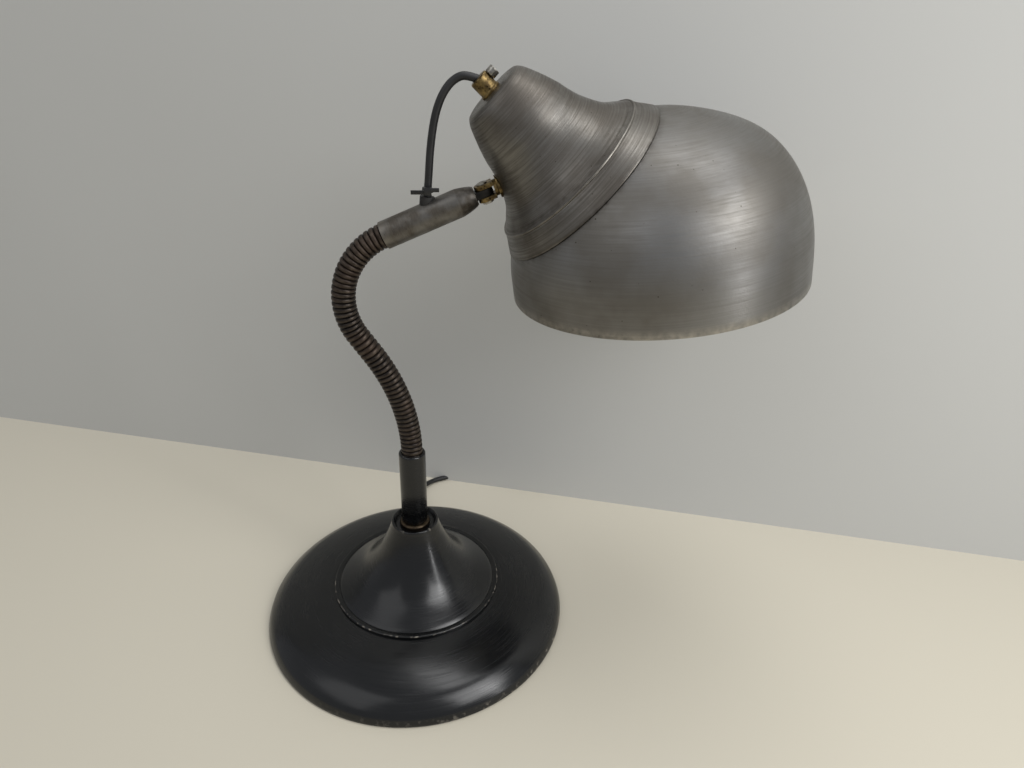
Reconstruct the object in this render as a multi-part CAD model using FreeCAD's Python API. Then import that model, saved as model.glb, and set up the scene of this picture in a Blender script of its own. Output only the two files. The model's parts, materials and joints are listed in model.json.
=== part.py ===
import FreeCAD, Part
import math
import os

# Gooseneck desk lamp. Millimetres. The origin is the centre of the base on the table, +Z is up and the
# lamp's plane of symmetry is XZ, with the shade towards +X. The mains lead leaves the base towards +Y.

# ---------------------------------------------------------------- driving dimensions
FIT = 0.05                 # clearance of pieces that are pushed together and stay put
RUN = 0.3                  # clearance between pieces that move against each other
SHAFT = 0.06               # radial clearance of a pin that turns in its hole

# base
BASE_R = 120.0             # rim of the pressed dish
BASE_RIM_Z = 0.6           # underside of the rim above the table
BASE_RIM_TOP = 2.6         # top of the upright part of the rim
SHOULDER_R = 104.0         # where the rounded edge meets the slope
SHOULDER_Z = 17.6
SHOULDER_MID_R = 114.9     # the edge is round through this point
SHOULDER_MID_Z = 10.6
DISH_TOP_R = 68.5          # where the slope meets the flat under the cone
DISH_TOP_Z = 26.6
DISH_WALL = 1.6
FELT_R = 114.0
FELT_T = 1.6
PLATE_R = 115.0            # steel plate that closes the dish from below
PLATE_T = 1.4
WEIGHT_R = 100.0
WEIGHT_HOLE_R = 32.0
WEIGHT_T = 9.0
WEIGHT_SLOT_W = 9.0        # channel for the lead

# spun cone on the base
CONE_FOOT_R = 66.5
CONE_FOOT_H = 2.6
CONE_STEP_R = 62.0         # inner edge of the foot's flat ring
CONE_LIP_R = 17.5
CONE_LIP_Z = 87.0
CONE_RECESS = 3.6          # depth of the dished top
CONE_WALL = 1.2
CONE_SAG = 9.0             # how far the flank curves in below its chord

# stem
NIPPLE_R = 5.0             # M10 threaded tube through base and stem
NIPPLE_BORE = 3.0
NIPPLE_FOOT_Z = 19.0
NIPPLE_TOP_Z = 108.0
NUT_FLATS = 17.0
NUT_T = 5.0
WASHER_R = 12.0
WASHER_T = 1.2
COLLAR_R = 11.8
COLLAR_T = 4.4
STEM_R = 10.0
STEM_TOP_Z = 150.0
STEM_ROUND = 2.0
HOSE_SEAT = 12.0           # length of hose held in the stem and in the sleeve
STEM_CAVITY_R = 6.6

# flexible hose
HOSE_R = 8.0
HOSE_BORE = 3.2
LOW_BEND_R = 149.0         # lower bend leans back
LOW_BEND_DEG = 33.0
MID_RUN = 16.0
TOP_BEND_R = 47.0          # upper bend brings the arm forward
ARM_DEG = 23.5             # slope of the arm above the horizon
LOW_PARTS = 3
TOP_PARTS = 3
HINGE_GAP = 0.3
HINGE_WEDGE_DEG = 8.5      # each end face falls away by this from the hinge

# lead
LEAD_R = 2.4

# arm sleeve
SLEEVE_R = 9.0
SLEEVE_LEN = 63.8
SLEEVE_TAPER = 11.5
SLEEVE_TIP_R = 6.0
SLEEVE_BORE = 5.4
GROMMET_R = 4.6
GROMMET_LIP = 1.2
TIE_W = 2.5
TIE_T = 1.1
TIE_HEAD = 4.6
TIE_HEAD_T = 3.2
TIE_TAIL = 8.5
TIE_STUB = 5.0
TIE_HEIGHT = 4.0           # above the grommet

# knuckle between arm and head
PIVOT_AT = 70.0            # from the rear end of the sleeve
TONGUE_T = 4.6
TONGUE_R = 5.4
TONGUE_SHANK = 12.0
EAR_T = 2.6
EAR_R = 5.6
YOKE_BACK = 6.4            # from the pivot to the inside of the yoke's bridge
YOKE_BRIDGE = 2.0
PIVOT_R = 2.0
PIVOT_HEAD_R = 3.6
PIVOT_HEAD_T = 1.5
SHANK_R = 4.9
SHANK_LEN = 13.0
SHANK_NUT_FLATS = 14.0
SADDLE_R = 7.2

# shade
DOME_R = 98.3
DOME_X = 168.9
DOME_Z = 295.8
SKIRT = 12.6               # straight wall below the dome
SKIRT_DEG = 8.9            # the mouth faces slightly away from the stem
SHADE_WALL = 1.0
NECK_DEG = 42.3            # neck axis above the horizon
SEAM_AT = 76.4             # along the neck axis from the centre of the dome
SEAM_FOOT_R = 63.4
BEAD_AT = 89.0
BEAD_AT_R = 54.4
BEAD_WIRE = 0.8
NECK_MID_AT = 98.6         # the foot sweeps in through this point to the waist
NECK_MID_R = 43.6
WAIST_AT = 112.0
WAIST_R = 36.3
NOSE_AT = 146.0
NOSE_R = 24.6
NECK_END = 153.6
NECK_END_R = 17.5

# cord grip on the neck
GRIP_NIPPLE_R = 4.9
GRIP_R = 6.0
GRIP_LEN = 11.0
GRIP_BORE = LEAD_R + FIT
GRIP_SCREW_R = 3.4
GRIP_SCREW_SHAFT_R = 1.4
GRIP_SCREW_LEN = 4.6
GRIP_SCREW_AT = 7.0        # above the end of the neck

# lampholder and lamp
HOLDER_R = 19.0
HOLDER_CAP_LEN = 20.0
HOLDER_SHELL_LEN = 34.0
HOLDER_WALL = 2.2
INSERT_R = 14.2
INSERT_WALL = 0.5
LAMP_CAP_R = 13.2
LAMP_CAP_LEN = 24.0
LAMP_GLASS_R = 30.0
LAMP_LEN = 104.0
LAMP_WALL = 1.0
LAMP_WIDE_DEG = 28         # the round of the glass ends this far above its middle
CONTACT_R = 4.0

# mains lead
RELIEF_R = 3.9
RELIEF_TIP_R = 3.0
RELIEF_LIP = 1.4           # the collar outside the dish stands out by this
RELIEF_INSIDE = 8.0        # length inside the rim
RELIEF_Z = FELT_T + PLATE_T + RELIEF_R + 0.1
FLOOR_LEAD_Z = LEAD_R + 0.05
SWITCH_LEN = 58.0
SWITCH_W = 22.0
SWITCH_H = 15.0
SWITCH_BASE_H = 6.6
SWITCH_LEAD_Z = 4.6
ROCKER_LEN = 17.0
ROCKER_W = 9.0
ROCKER_R = 8.5
ROCKER_TILT = 6.0          # lean of the rocker at each end of its travel
STUB_R = 1.0
RIB_T = 2.0
COIL_MEAN_R = 27.5
COIL_TURNS_WIDE = 3
COIL_TURNS_HIGH = 3
PLUG_LEN = 36.0
PLUG_W = 26.0
PLUG_NECK_W = 11.0
PLUG_T = 13.6
PIN_R = 2.0
PIN_LEN = 19.0
PIN_PITCH = 18.6

# points of the mains lead on the table, chosen by hand
LEAD_TO_SWITCH = [
    (0.0, 134.0, RELIEF_Z), (0.0, 144.5, RELIEF_Z), (2.7, 155.2, 5.0), (8.7, 164.4, 3.0),
    (18.0, 171.2, FLOOR_LEAD_Z), (30.4, 175.0, FLOOR_LEAD_Z), (44.5, 180.1, FLOOR_LEAD_Z),
    (60.4, 182.1, 3.4),
    (75.0, 180.3, SWITCH_LEAD_Z), (86.4, 176.6, SWITCH_LEAD_Z),
]
LEAD_TO_COIL = [
    (141.7, 159.2, SWITCH_LEAD_Z), (151.3, 156.2, SWITCH_LEAD_Z), (161.5, 153.0, 3.3),
    (170.4, 150.0, FLOOR_LEAD_Z), (179.8, 147.0, FLOOR_LEAD_Z),
]
LEAD_TO_PLUG = [
    (199.2, 208.6, 12.2), (189.0, 212.2, 11.0), (178.6, 215.4, 8.4), (168.8, 218.4, PLUG_T / 2),
    (160.0, 220.9, PLUG_T / 2),
]
COIL_CENTRE = (189.5, 177.8)

# points of the lead between the arm and the shade, x and z
LEAD_ARCH = [
    (16.2, 338.2), (17.4, 350.2), (18.3, 362.4), (19.8, 374.4), (22.0, 385.6), (25.2, 394.8), (30.0, 402.4),
    (35.6, 406.8), (40.5, 407.8), (45.2, 406.5),
]


# ---------------------------------------------------------------- small helpers
def V(x, y, z):
    return FreeCAD.Vector(x, y, z)


def plane_point(point):
    """A point of the lamp's plane, from its x and z."""
    return V(point[0], 0, point[1])


def along(deg):
    """Unit vector in the lamp's plane at an angle above +X."""
    return V(math.cos(math.radians(deg)), 0, math.sin(math.radians(deg)))


def lathe(outline):
    """Turns a closed outline about Z. An entry is (r, z), or (r, z, by r, by z) for an arc to r, z."""
    edges = []
    for here, there in zip(outline, outline[1:] + outline[:1]):
        start, end = V(here[0], 0, here[1]), V(there[0], 0, there[1])
        if len(there) == 4:
            edges.append(Part.Arc(start, V(there[2], 0, there[3]), end).toShape())
        elif (start - end).Length > 1e-6:
            edges.append(Part.LineSegment(start, end).toShape())
    face = Part.Face(Part.Wire(edges))
    return face.revolve(V(0, 0, 0), V(0, 0, 1), 360)


def ring(outer, inner, low, high):
    return lathe([(inner, low), (outer, low), (outer, high), (inner, high)])


def rod(radius, start, end):
    line = end - start
    return Part.makeCylinder(radius, line.Length, start, line)


def tube(outer, inner, start, end):
    return rod(outer, start, end).cut(rod(inner, start, end))


def hexagon(flats, height, base, axis):
    corner = flats / math.sqrt(3)
    points = [V(corner * math.cos(math.radians(60 * i)), corner * math.sin(math.radians(60 * i)), 0)
              for i in range(7)]
    solid = Part.Face(Part.makePolygon(points)).extrude(V(0, 0, height))
    return place(solid, base, axis)


def place(shape, origin, axis):
    """Moves a shape made about Z to stand at origin, with its own Y kept level."""
    side = V(0, 1, 0)
    axis = V(axis.x, axis.y, axis.z).normalize()
    if abs(axis.dot(side)) > 0.9:
        side = V(-1, 0, 0)
    first = side.cross(axis).normalize()
    moved = shape.copy()
    moved.Placement = FreeCAD.Placement(origin, FreeCAD.Rotation(first, side, axis, "ZXY"))
    return moved


def rounded_box(length, width, height, radius):
    """A box centred on the origin in X and Y, standing on z = 0, with its upright edges rounded."""
    box = Part.makeBox(length, width, height, V(-length / 2, -width / 2, 0))
    upright = [e for e in box.Edges if abs(e.tangentAt(e.FirstParameter).z) > 0.9]
    return box.makeFillet(radius, upright)


def lead_solid(points, radius, name):
    """A round lead along straight runs joined by tangent arcs. Prints its radii and compares its volume."""
    edges = []
    last = points[0]
    length = 0.0
    radii = []
    for before, here, after in zip(points, points[1:], points[2:]):
        back, ahead = (before - here), (after - here)
        turn = math.pi - back.getAngle(ahead)
        cut = 0.45 * min(back.Length, ahead.Length)
        bend = cut / math.tan(turn / 2)
        radii.append(round(bend, 1))
        start = here + V(*back).normalize() * cut
        end = here + V(*ahead).normalize() * cut
        inward = (V(*back).normalize() + V(*ahead).normalize()).normalize()
        middle = here + inward * (bend / math.cos(turn / 2) - bend)
        edges.append(Part.LineSegment(last, start).toShape())
        edges.append(Part.Arc(start, middle, end).toShape())
        length += (start - last).Length + bend * turn
        last = end
    edges.append(Part.LineSegment(last, points[-1]).toShape())
    length += (points[-1] - last).Length
    path = Part.Wire(edges)
    section = Part.Wire(Part.makeCircle(radius, points[0], points[1] - points[0]))
    solid = path.makePipeShell([section], True, False)
    share = solid.Volume / (math.pi * radius ** 2 * length)
    print(name, "length", round(length, 1), "radii", radii, "volume share", round(share, 4))
    return solid


# ---------------------------------------------------------------- base
DISH_FLOOR = DISH_TOP_Z - DISH_WALL
PLATE_TOP = FELT_T + PLATE_T


def base_dish():
    inner = BASE_R - DISH_WALL
    shell = lathe([
        (inner, BASE_RIM_Z), (BASE_R, BASE_RIM_Z), (BASE_R, BASE_RIM_TOP),
        (SHOULDER_R, SHOULDER_Z, SHOULDER_MID_R, SHOULDER_MID_Z),
        (DISH_TOP_R, DISH_TOP_Z), (NIPPLE_R + FIT, DISH_TOP_Z), (NIPPLE_R + FIT, DISH_FLOOR),
        (DISH_TOP_R - DISH_WALL / 2, DISH_FLOOR), (SHOULDER_R - DISH_WALL / 2, SHOULDER_Z - DISH_WALL),
        (inner, BASE_RIM_TOP, SHOULDER_MID_R - DISH_WALL * 0.8, SHOULDER_MID_Z - DISH_WALL * 0.6),
    ])
    return shell.cut(rod(RELIEF_R + FIT, V(0, WEIGHT_R, RELIEF_Z), V(0, BASE_R + 5, RELIEF_Z)))


def base_felt():
    return Part.makeCylinder(FELT_R, FELT_T)


def base_plate():
    return Part.makeCylinder(PLATE_R, PLATE_T, V(0, 0, FELT_T))


def base_weight():
    slot = Part.makeBox(WEIGHT_SLOT_W, WEIGHT_R, WEIGHT_T, V(-WEIGHT_SLOT_W / 2, 0, PLATE_TOP))
    return ring(WEIGHT_R, WEIGHT_HOLE_R, PLATE_TOP, PLATE_TOP + WEIGHT_T).cut(slot)


RECESS_Z = CONE_LIP_Z - CONE_RECESS


def cone_cover():
    foot_z = DISH_TOP_Z + CONE_FOOT_H
    chord = V(CONE_LIP_R + 1.0 - CONE_STEP_R, 0, CONE_LIP_Z - 2.0 - foot_z)
    inward = V(-chord.z, 0, chord.x).normalize() * CONE_SAG
    middle = V(CONE_STEP_R, 0, foot_z) + chord * 0.5 + inward
    wall = V(inward.x, 0, inward.z).normalize() * CONE_WALL
    recess = CONE_LIP_R - 2.4
    return lathe([
        (CONE_FOOT_R - CONE_WALL, DISH_TOP_Z), (CONE_FOOT_R, DISH_TOP_Z), (CONE_FOOT_R, foot_z - 1.0),
        (CONE_FOOT_R - 1.0, foot_z, CONE_FOOT_R - 0.3, foot_z - 0.3), (CONE_STEP_R, foot_z),
        (CONE_LIP_R + 1.0, CONE_LIP_Z - 2.0, middle.x, middle.z),
        (CONE_LIP_R - 0.7, CONE_LIP_Z, CONE_LIP_R + 0.3, CONE_LIP_Z - 0.5),
        (recess, RECESS_Z), (NIPPLE_R + FIT, RECESS_Z), (NIPPLE_R + FIT, RECESS_Z - CONE_WALL),
        (recess - 0.5, RECESS_Z - CONE_WALL), (CONE_LIP_R - 0.4, CONE_LIP_Z - 3.4),
        (CONE_STEP_R - 0.6, foot_z - CONE_WALL, middle.x + wall.x, middle.z + wall.z),
        (CONE_FOOT_R - CONE_WALL, foot_z - CONE_WALL),
    ])


def stem_nipple():
    return ring(NIPPLE_R, NIPPLE_BORE, NIPPLE_FOOT_Z, NIPPLE_TOP_Z)


def stem_washer():
    return ring(WASHER_R, NIPPLE_R + FIT, DISH_FLOOR - WASHER_T, DISH_FLOOR)


def stem_nut():
    low = DISH_FLOOR - WASHER_T - NUT_T
    return hexagon(NUT_FLATS, NUT_T, V(0, 0, low), V(0, 0, 1)).cut(
        Part.makeCylinder(NIPPLE_R + FIT, NUT_T, V(0, 0, low)))


def stem_collar():
    top = RECESS_Z + COLLAR_T
    return lathe([
        (NIPPLE_R + FIT, RECESS_Z), (COLLAR_R, RECESS_Z), (COLLAR_R, RECESS_Z + 1.4),
        (STEM_R, top, COLLAR_R - 0.3, RECESS_Z + 3.2), (NIPPLE_R + FIT, top),
    ])


def stem_tube():
    foot = RECESS_Z + COLLAR_T
    seat = STEM_TOP_Z - HOSE_SEAT
    return lathe([
        (NIPPLE_R + FIT, foot), (STEM_R, foot), (STEM_R, STEM_TOP_Z - STEM_ROUND),
        (STEM_R - STEM_ROUND + 0.2, STEM_TOP_Z, STEM_R - 0.5, STEM_TOP_Z - 0.5),
        (HOSE_R + FIT, STEM_TOP_Z), (HOSE_R + FIT, seat), (STEM_CAVITY_R, seat),
        (STEM_CAVITY_R, NIPPLE_TOP_Z), (NIPPLE_R + FIT, NIPPLE_TOP_Z),
    ])


def base_lead():
    low = RELIEF_Z
    route = [
        V(0, LEAD_TO_SWITCH[0][1], low), V(0, 108, low), V(0.2, 72, low), V(-0.2, 40, low - 0.1),
        V(0.1, 20, low), V(-0.1, 8.5, low + 1.5), V(0, 2.3, low + 5.4), V(0.05, 0, low + 11.2),
        V(0, 0.05, 36), V(0.1, 0, 60), V(0, 0.1, 98), V(0, 0, STEM_TOP_Z - HOSE_SEAT),
    ]
    return lead_solid(route, LEAD_R, "base_lead")


# ---------------------------------------------------------------- flexible hose
LEAN_DEG = 90 + LOW_BEND_DEG
TOP_BEND_DEG = LEAN_DEG - ARM_DEG
STEM_TOP = V(0, 0, STEM_TOP_Z)
LOW_CENTRE = STEM_TOP + V(-LOW_BEND_R, 0, 0)
LOW_END = LOW_CENTRE + along(LOW_BEND_DEG) * LOW_BEND_R
MID_END = LOW_END + along(LEAN_DEG) * MID_RUN
TOP_CENTRE = MID_END + along(LEAN_DEG - 90) * TOP_BEND_R
ARM_START = TOP_CENTRE + along(ARM_DEG + 90) * TOP_BEND_R
ARM_DIR = along(ARM_DEG)
ARM_UP = along(ARM_DEG + 90)


def hose_stations():
    """Hinge points along the hose with the direction of its centreline there."""
    stations = [(STEM_TOP, 90.0)]
    for i in range(1, LOW_PARTS + 1):
        turned = LOW_BEND_DEG * i / LOW_PARTS
        stations.append((LOW_CENTRE + along(turned) * LOW_BEND_R, 90 + turned))
    stations.append((MID_END, LEAN_DEG))
    for i in range(1, TOP_PARTS + 1):
        heading = LEAN_DEG - TOP_BEND_DEG * i / TOP_PARTS
        stations.append((TOP_CENTRE + along(heading + 90) * TOP_BEND_R, heading))
    return stations


def hinge_cutter(point, direction):
    """Everything behind a shallow cone whose tip is at a hinge, so that the next piece can lean."""
    reach = HOSE_R + 4
    edge = HINGE_GAP / 2 + reach * math.tan(math.radians(HINGE_WEDGE_DEG))
    cone = lathe([(0, -4.0), (reach, -4.0), (reach, edge), (0, HINGE_GAP / 2)])
    return place(cone, point, direction)


def hose_piece(index, outer, inner):
    """Piece index of the hose, from its station index to the next, as a tube or a rod."""
    stations = hose_stations()
    (start, heading), (end, next_heading) = stations[index], stations[index + 1]
    direction = along(heading)
    if index == LOW_PARTS:
        piece = rod(outer, start, end)
        bore = rod(inner, start, end) if inner else None
    else:
        centre = LOW_CENTRE if index < LOW_PARTS else TOP_CENTRE
        axis = V(0, -1, 0) if index < LOW_PARTS else V(0, 1, 0)
        turn = abs(next_heading - heading)
        piece = bend_solid(outer, start, direction, centre, axis, turn)
        bore = bend_solid(inner, start, direction, centre, axis, turn) if inner else None
    if index == 0:
        foot = start - direction * HOSE_SEAT
        piece = piece.fuse(rod(outer, foot, start))
        bore = bore.fuse(rod(inner, foot, start)) if inner else None
    if index == len(stations) - 2:
        tip = end + along(next_heading) * HOSE_SEAT
        piece = piece.fuse(rod(outer, end, tip))
        bore = bore.fuse(rod(inner, end, tip)) if inner else None
    if bore:
        piece = piece.cut(bore)
    if index > 0:
        piece = piece.cut(hinge_cutter(start, direction))
    if index < len(stations) - 2:
        piece = piece.cut(hinge_cutter(end, along(next_heading) * -1))
    return piece.removeSplitter()


def bend_solid(radius, start, direction, centre, axis, turn):
    disc = Part.Face(Part.Wire(Part.makeCircle(radius, start, direction)))
    return disc.revolve(centre, axis, turn)


# ---------------------------------------------------------------- arm
def arm_point(distance, height=0.0, side=0.0):
    return ARM_START + ARM_DIR * distance + ARM_UP * height + V(0, side, 0)


PIVOT = arm_point(PIVOT_AT)
LEAD_OUT = plane_point(LEAD_ARCH[0])                       # where the lead leaves its grommet
LEAD_RISE = (plane_point(LEAD_ARCH[1]) - LEAD_OUT).normalize()


def arm_sleeve():
    body = lathe([
        (HOSE_R + FIT, 0), (SLEEVE_R - 0.4, 0), (SLEEVE_R, 0.4), (SLEEVE_R, SLEEVE_LEN - SLEEVE_TAPER),
        (SLEEVE_TIP_R, SLEEVE_LEN), (SLEEVE_BORE, SLEEVE_LEN), (SLEEVE_BORE, HOSE_SEAT),
        (HOSE_R + FIT, HOSE_SEAT),
    ])
    hole = rod(GROMMET_R - GROMMET_LIP, LEAD_OUT - LEAD_RISE * 9, LEAD_OUT)
    return place(body, ARM_START, ARM_DIR).cut(hole)


def lead_grommet():
    """Rubber bush in the sleeve, with a head that sits on the round of the tube."""
    head = rod(GROMMET_R, LEAD_OUT - LEAD_RISE * 6, LEAD_OUT).cut(rod(SLEEVE_R + FIT, ARM_START, PIVOT))
    bush = rod(GROMMET_R - GROMMET_LIP - FIT, LEAD_OUT - LEAD_RISE * 6, LEAD_OUT - LEAD_RISE)
    bore = rod(LEAD_R + FIT, LEAD_OUT - LEAD_RISE * 12, LEAD_OUT + LEAD_RISE)
    return bush.fuse(head).cut(bore).removeSplitter()


def arm_lead():
    return lead_solid([arm_point(HOSE_SEAT), arm_point(17.5), arm_point(24, -0.9), arm_point(29.5, 0.2),
                       LEAD_OUT - LEAD_RISE * 8.6, LEAD_OUT], LEAD_R, "arm_lead")


def cable_tie():
    """Nylon tie round the lead: head to the front, tail to one side, stub to the other."""
    centre = LEAD_OUT + LEAD_RISE * TIE_HEIGHT
    start = centre - LEAD_RISE * (TIE_W / 2)
    band = tube(LEAD_R + FIT + TIE_T, LEAD_R + FIT, start, start + LEAD_RISE * TIE_W)
    front = LEAD_R + TIE_T * 0.5
    head_corner = centre - V(TIE_HEAD / 2, front + TIE_HEAD_T, TIE_HEAD / 2)
    head = Part.makeBox(TIE_HEAD, TIE_HEAD_T, TIE_HEAD, head_corner)
    strap_y = front + TIE_HEAD_T * 0.5 + TIE_T / 2
    tail_corner = centre - V(TIE_TAIL + TIE_HEAD / 2 - 0.3, strap_y, TIE_W * 0.8)
    tail = Part.makeBox(TIE_TAIL, TIE_T, TIE_W, tail_corner)
    stub = Part.makeBox(TIE_STUB, TIE_T, TIE_W, centre - V(0.3 - TIE_HEAD / 2, strap_y, TIE_W * 0.2))
    body = band.fuse([head, tail, stub])
    return body.cut(rod(LEAD_R + FIT, centre - LEAD_RISE * 6, centre + LEAD_RISE * 6)).removeSplitter()


def arm_tongue():
    """Flat steel tongue with a round shank that is pressed in the sleeve's end."""
    shank = rod(SLEEVE_BORE - FIT, arm_point(SLEEVE_LEN - TONGUE_SHANK), arm_point(SLEEVE_LEN))
    length = PIVOT_AT - SLEEVE_LEN
    flat = Part.makeBox(length, TONGUE_R * 2, TONGUE_T, V(-length, -TONGUE_R, -TONGUE_T / 2))
    eye = Part.makeCylinder(TONGUE_R, TONGUE_T, V(0, 0, -TONGUE_T / 2))
    blade = flat.fuse(eye).cut(Part.makeCylinder(PIVOT_R + SHAFT, TONGUE_T * 2, V(0, 0, -TONGUE_T)))
    return place_knuckle(blade).fuse(shank).removeSplitter()


# ---------------------------------------------------------------- knuckle
def place_knuckle(shape):
    """Moves a shape with X along the arm and Z along the pivot from the origin to the pivot."""
    moved = shape.copy()
    moved.Placement = FreeCAD.Placement(PIVOT, FreeCAD.Rotation(ARM_DIR, V(0, 1, 0), ARM_UP, "ZXY"))
    return moved


YOKE_FACE = YOKE_BACK + YOKE_BRIDGE


def knuckle_yoke():
    """Brass yoke: two ears, a bridge and a threaded shank through the neck of the shade."""
    low = TONGUE_T / 2 + RUN
    ears = []
    for side in (-1, 1):
        base = low if side > 0 else -low - EAR_T
        ear = Part.makeCylinder(EAR_R, EAR_T, V(0, 0, base))
        cheek = Part.makeBox(YOKE_BACK, EAR_R * 2, EAR_T, V(0, -EAR_R, base))
        ears.append(ear.fuse(cheek))
    bridge = Part.makeCylinder(low + EAR_T, YOKE_BRIDGE, V(YOKE_BACK, 0, 0), V(1, 0, 0))
    shank = Part.makeCylinder(SHANK_R, SHANK_LEN, V(YOKE_FACE, 0, 0), V(1, 0, 0))
    body = bridge.fuse(ears + [shank])
    return place_knuckle(body.cut(Part.makeCylinder(PIVOT_R + FIT, 40, V(0, 0, -20)))).removeSplitter()


def pivot_screw():
    half = TONGUE_T / 2 + RUN + EAR_T
    pin = Part.makeCylinder(PIVOT_R, half * 2 + 2.0, V(0, 0, -half - 2.0))
    head = lathe([(0, half), (PIVOT_HEAD_R, half), (PIVOT_HEAD_R, half + 0.6),
                  (0, half + PIVOT_HEAD_T, PIVOT_HEAD_R * 0.62, half + PIVOT_HEAD_T - 0.25)])
    slot_corner = V(-PIVOT_HEAD_R * 1.1, -0.4, half + PIVOT_HEAD_T - 0.7)
    slot = Part.makeBox(PIVOT_HEAD_R * 2.2, 0.8, 0.8, slot_corner)
    return place_knuckle(pin.fuse(head).cut(slot)).removeSplitter()


def pivot_nut():
    half = TONGUE_T / 2 + RUN + EAR_T
    nut = hexagon(6.4, 1.9, V(0, 0, -half - 1.9), V(0, 0, 1)).cut(
        Part.makeCylinder(PIVOT_R + FIT, 4, V(0, 0, -half - 3)))
    return place_knuckle(nut)


# ---------------------------------------------------------------- shade
DOME = V(DOME_X, 0, DOME_Z)
NECK_DIR = along(180 - NECK_DEG)
MOUTH_DIR = along(-90 + SKIRT_DEG)


def neck_point(distance, offset=0.0):
    """A point beside the neck's axis, offset towards the arm."""
    return DOME + NECK_DIR * distance + along(270 - NECK_DEG) * offset


def neck_outline(inset):
    """The neck's outer line moved in by inset, from the foot to the end."""
    slope = V(NOSE_AT - WAIST_AT, 0, NOSE_R - WAIST_R).normalize()
    shift_u, shift_r = slope.z * inset, -slope.x * inset
    end = NECK_END - inset
    return [
        (SEAM_FOOT_R - inset * 0.75, SEAM_AT - inset * 0.65),
        (BEAD_AT_R - inset * 0.75, BEAD_AT - inset * 0.65),
        (WAIST_R + shift_r, WAIST_AT + shift_u, NECK_MID_R - inset * 0.85,
         NECK_MID_AT - inset * 0.5),
        (NOSE_R + shift_r, NOSE_AT + shift_u),
        (NECK_END_R - inset * 0.4, end, NOSE_R - 2.2 - inset * 0.8, NOSE_AT + 5.6 - inset * 0.6),
    ]


def neck_body(inset):
    """The neck filled solid, with its foot carried on to the middle of the dome."""
    outline = neck_outline(inset)
    start = [(0, SEAM_AT - 12), (outline[0][0], SEAM_AT - 12)]
    return on_neck(lathe(start + outline + [(0, outline[-1][1])]))


def shade_neck():
    shell = neck_body(0).cut(neck_body(SHADE_WALL))
    bead = place(Part.makeTorus(BEAD_AT_R - 0.2, BEAD_WIRE, V(0, 0, BEAD_AT)), DOME, NECK_DIR)
    bead = bead.cut(neck_body(SHADE_WALL / 2))
    shell = shell.fuse(bead).cut(Part.makeSphere(DOME_R + FIT, DOME))
    shell = shell.cut(rod(SHANK_R + SHAFT, PIVOT, PIVOT + ARM_DIR * 30))
    end_hole = rod(GRIP_NIPPLE_R + FIT, neck_point(NECK_END - 8), neck_point(NECK_END + 8))
    return shell.cut(end_hole).removeSplitter()


def shade_dome():
    def shell(radius):
        cap = Part.makeSphere(radius, DOME)
        skirt = rod(radius, DOME, DOME + MOUTH_DIR * SKIRT)
        below = rod(radius * 1.5, DOME + MOUTH_DIR * SKIRT, DOME + MOUTH_DIR * radius * 2)
        upper = cap.cut(rod(radius * 1.5, DOME, DOME + MOUTH_DIR * radius * 2))
        return upper.fuse(skirt).cut(below)
    body = shell(DOME_R).cut(shell(DOME_R - SHADE_WALL))
    mouth = rod(DOME_R - SHADE_WALL, DOME + MOUTH_DIR * (SKIRT - 2), DOME + MOUTH_DIR * (SKIRT + 2))
    body = body.cut(mouth)
    hole_r = SEAM_FOOT_R - 5.0
    return body.cut(rod(hole_r, DOME, neck_point(DOME_R + 10))).removeSplitter()


def outer_saddle():
    """Brass washer between yoke and neck, hollowed to the neck's curve."""
    start = PIVOT + ARM_DIR * (YOKE_FACE + RUN)
    blank = tube(SADDLE_R, SHANK_R + SHAFT, start, start + ARM_DIR * 9)
    return keep_largest(blank.cut(neck_body(-FIT)))


def inner_saddle():
    depth = YOKE_FACE + SHANK_LEN - NUT_T - RUN
    blank = tube(SADDLE_R + 1, SHANK_R + SHAFT, PIVOT + ARM_DIR * (YOKE_FACE - 3), PIVOT + ARM_DIR * depth)
    return keep_largest(blank.common(neck_body(SHADE_WALL + FIT)))


def keep_largest(shape):
    return max(shape.Solids, key=lambda s: s.Volume)


def shank_nut():
    start = PIVOT + ARM_DIR * (YOKE_FACE + SHANK_LEN - NUT_T)
    bore = rod(SHANK_R + FIT, start - ARM_DIR, start + ARM_DIR * 9)
    return hexagon(SHANK_NUT_FLATS, NUT_T, start, ARM_DIR).cut(bore)


# ---------------------------------------------------------------- cord grip
def on_neck(shape):
    return place(shape, DOME, NECK_DIR)


HOLDER_TOP = NECK_END - SHADE_WALL - FIT
GRIP_TOP = NECK_END + GRIP_LEN


def grip_nipple():
    return on_neck(ring(GRIP_NIPPLE_R, NIPPLE_BORE, HOLDER_TOP - 7, NECK_END + 5))


def grip_body():
    body = on_neck(lathe([
        (GRIP_NIPPLE_R + FIT, NECK_END + FIT), (GRIP_R + 0.6, NECK_END + FIT),
        (GRIP_R + 0.6, NECK_END + 1.4), (GRIP_R, NECK_END + 2.0), (GRIP_R, GRIP_TOP - 1.4),
        (GRIP_R - 1.2, GRIP_TOP, GRIP_R - 0.3, GRIP_TOP - 0.4),
        (0.8, GRIP_TOP), (0.8, NECK_END + 5 + FIT), (GRIP_NIPPLE_R + FIT, NECK_END + 5 + FIT),
    ]))
    body = body.cut(lead_solid(head_lead_route(), GRIP_BORE, "grip bore"))
    return body.cut(rod(GRIP_SCREW_SHAFT_R + FIT, grip_side(0), grip_side(GRIP_R * 2))).removeSplitter()


def grip_side(distance):
    """A point beside the grip, on the side away from the arm, where its clamp screw sits."""
    return neck_point(NECK_END + GRIP_SCREW_AT, -distance)


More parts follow.
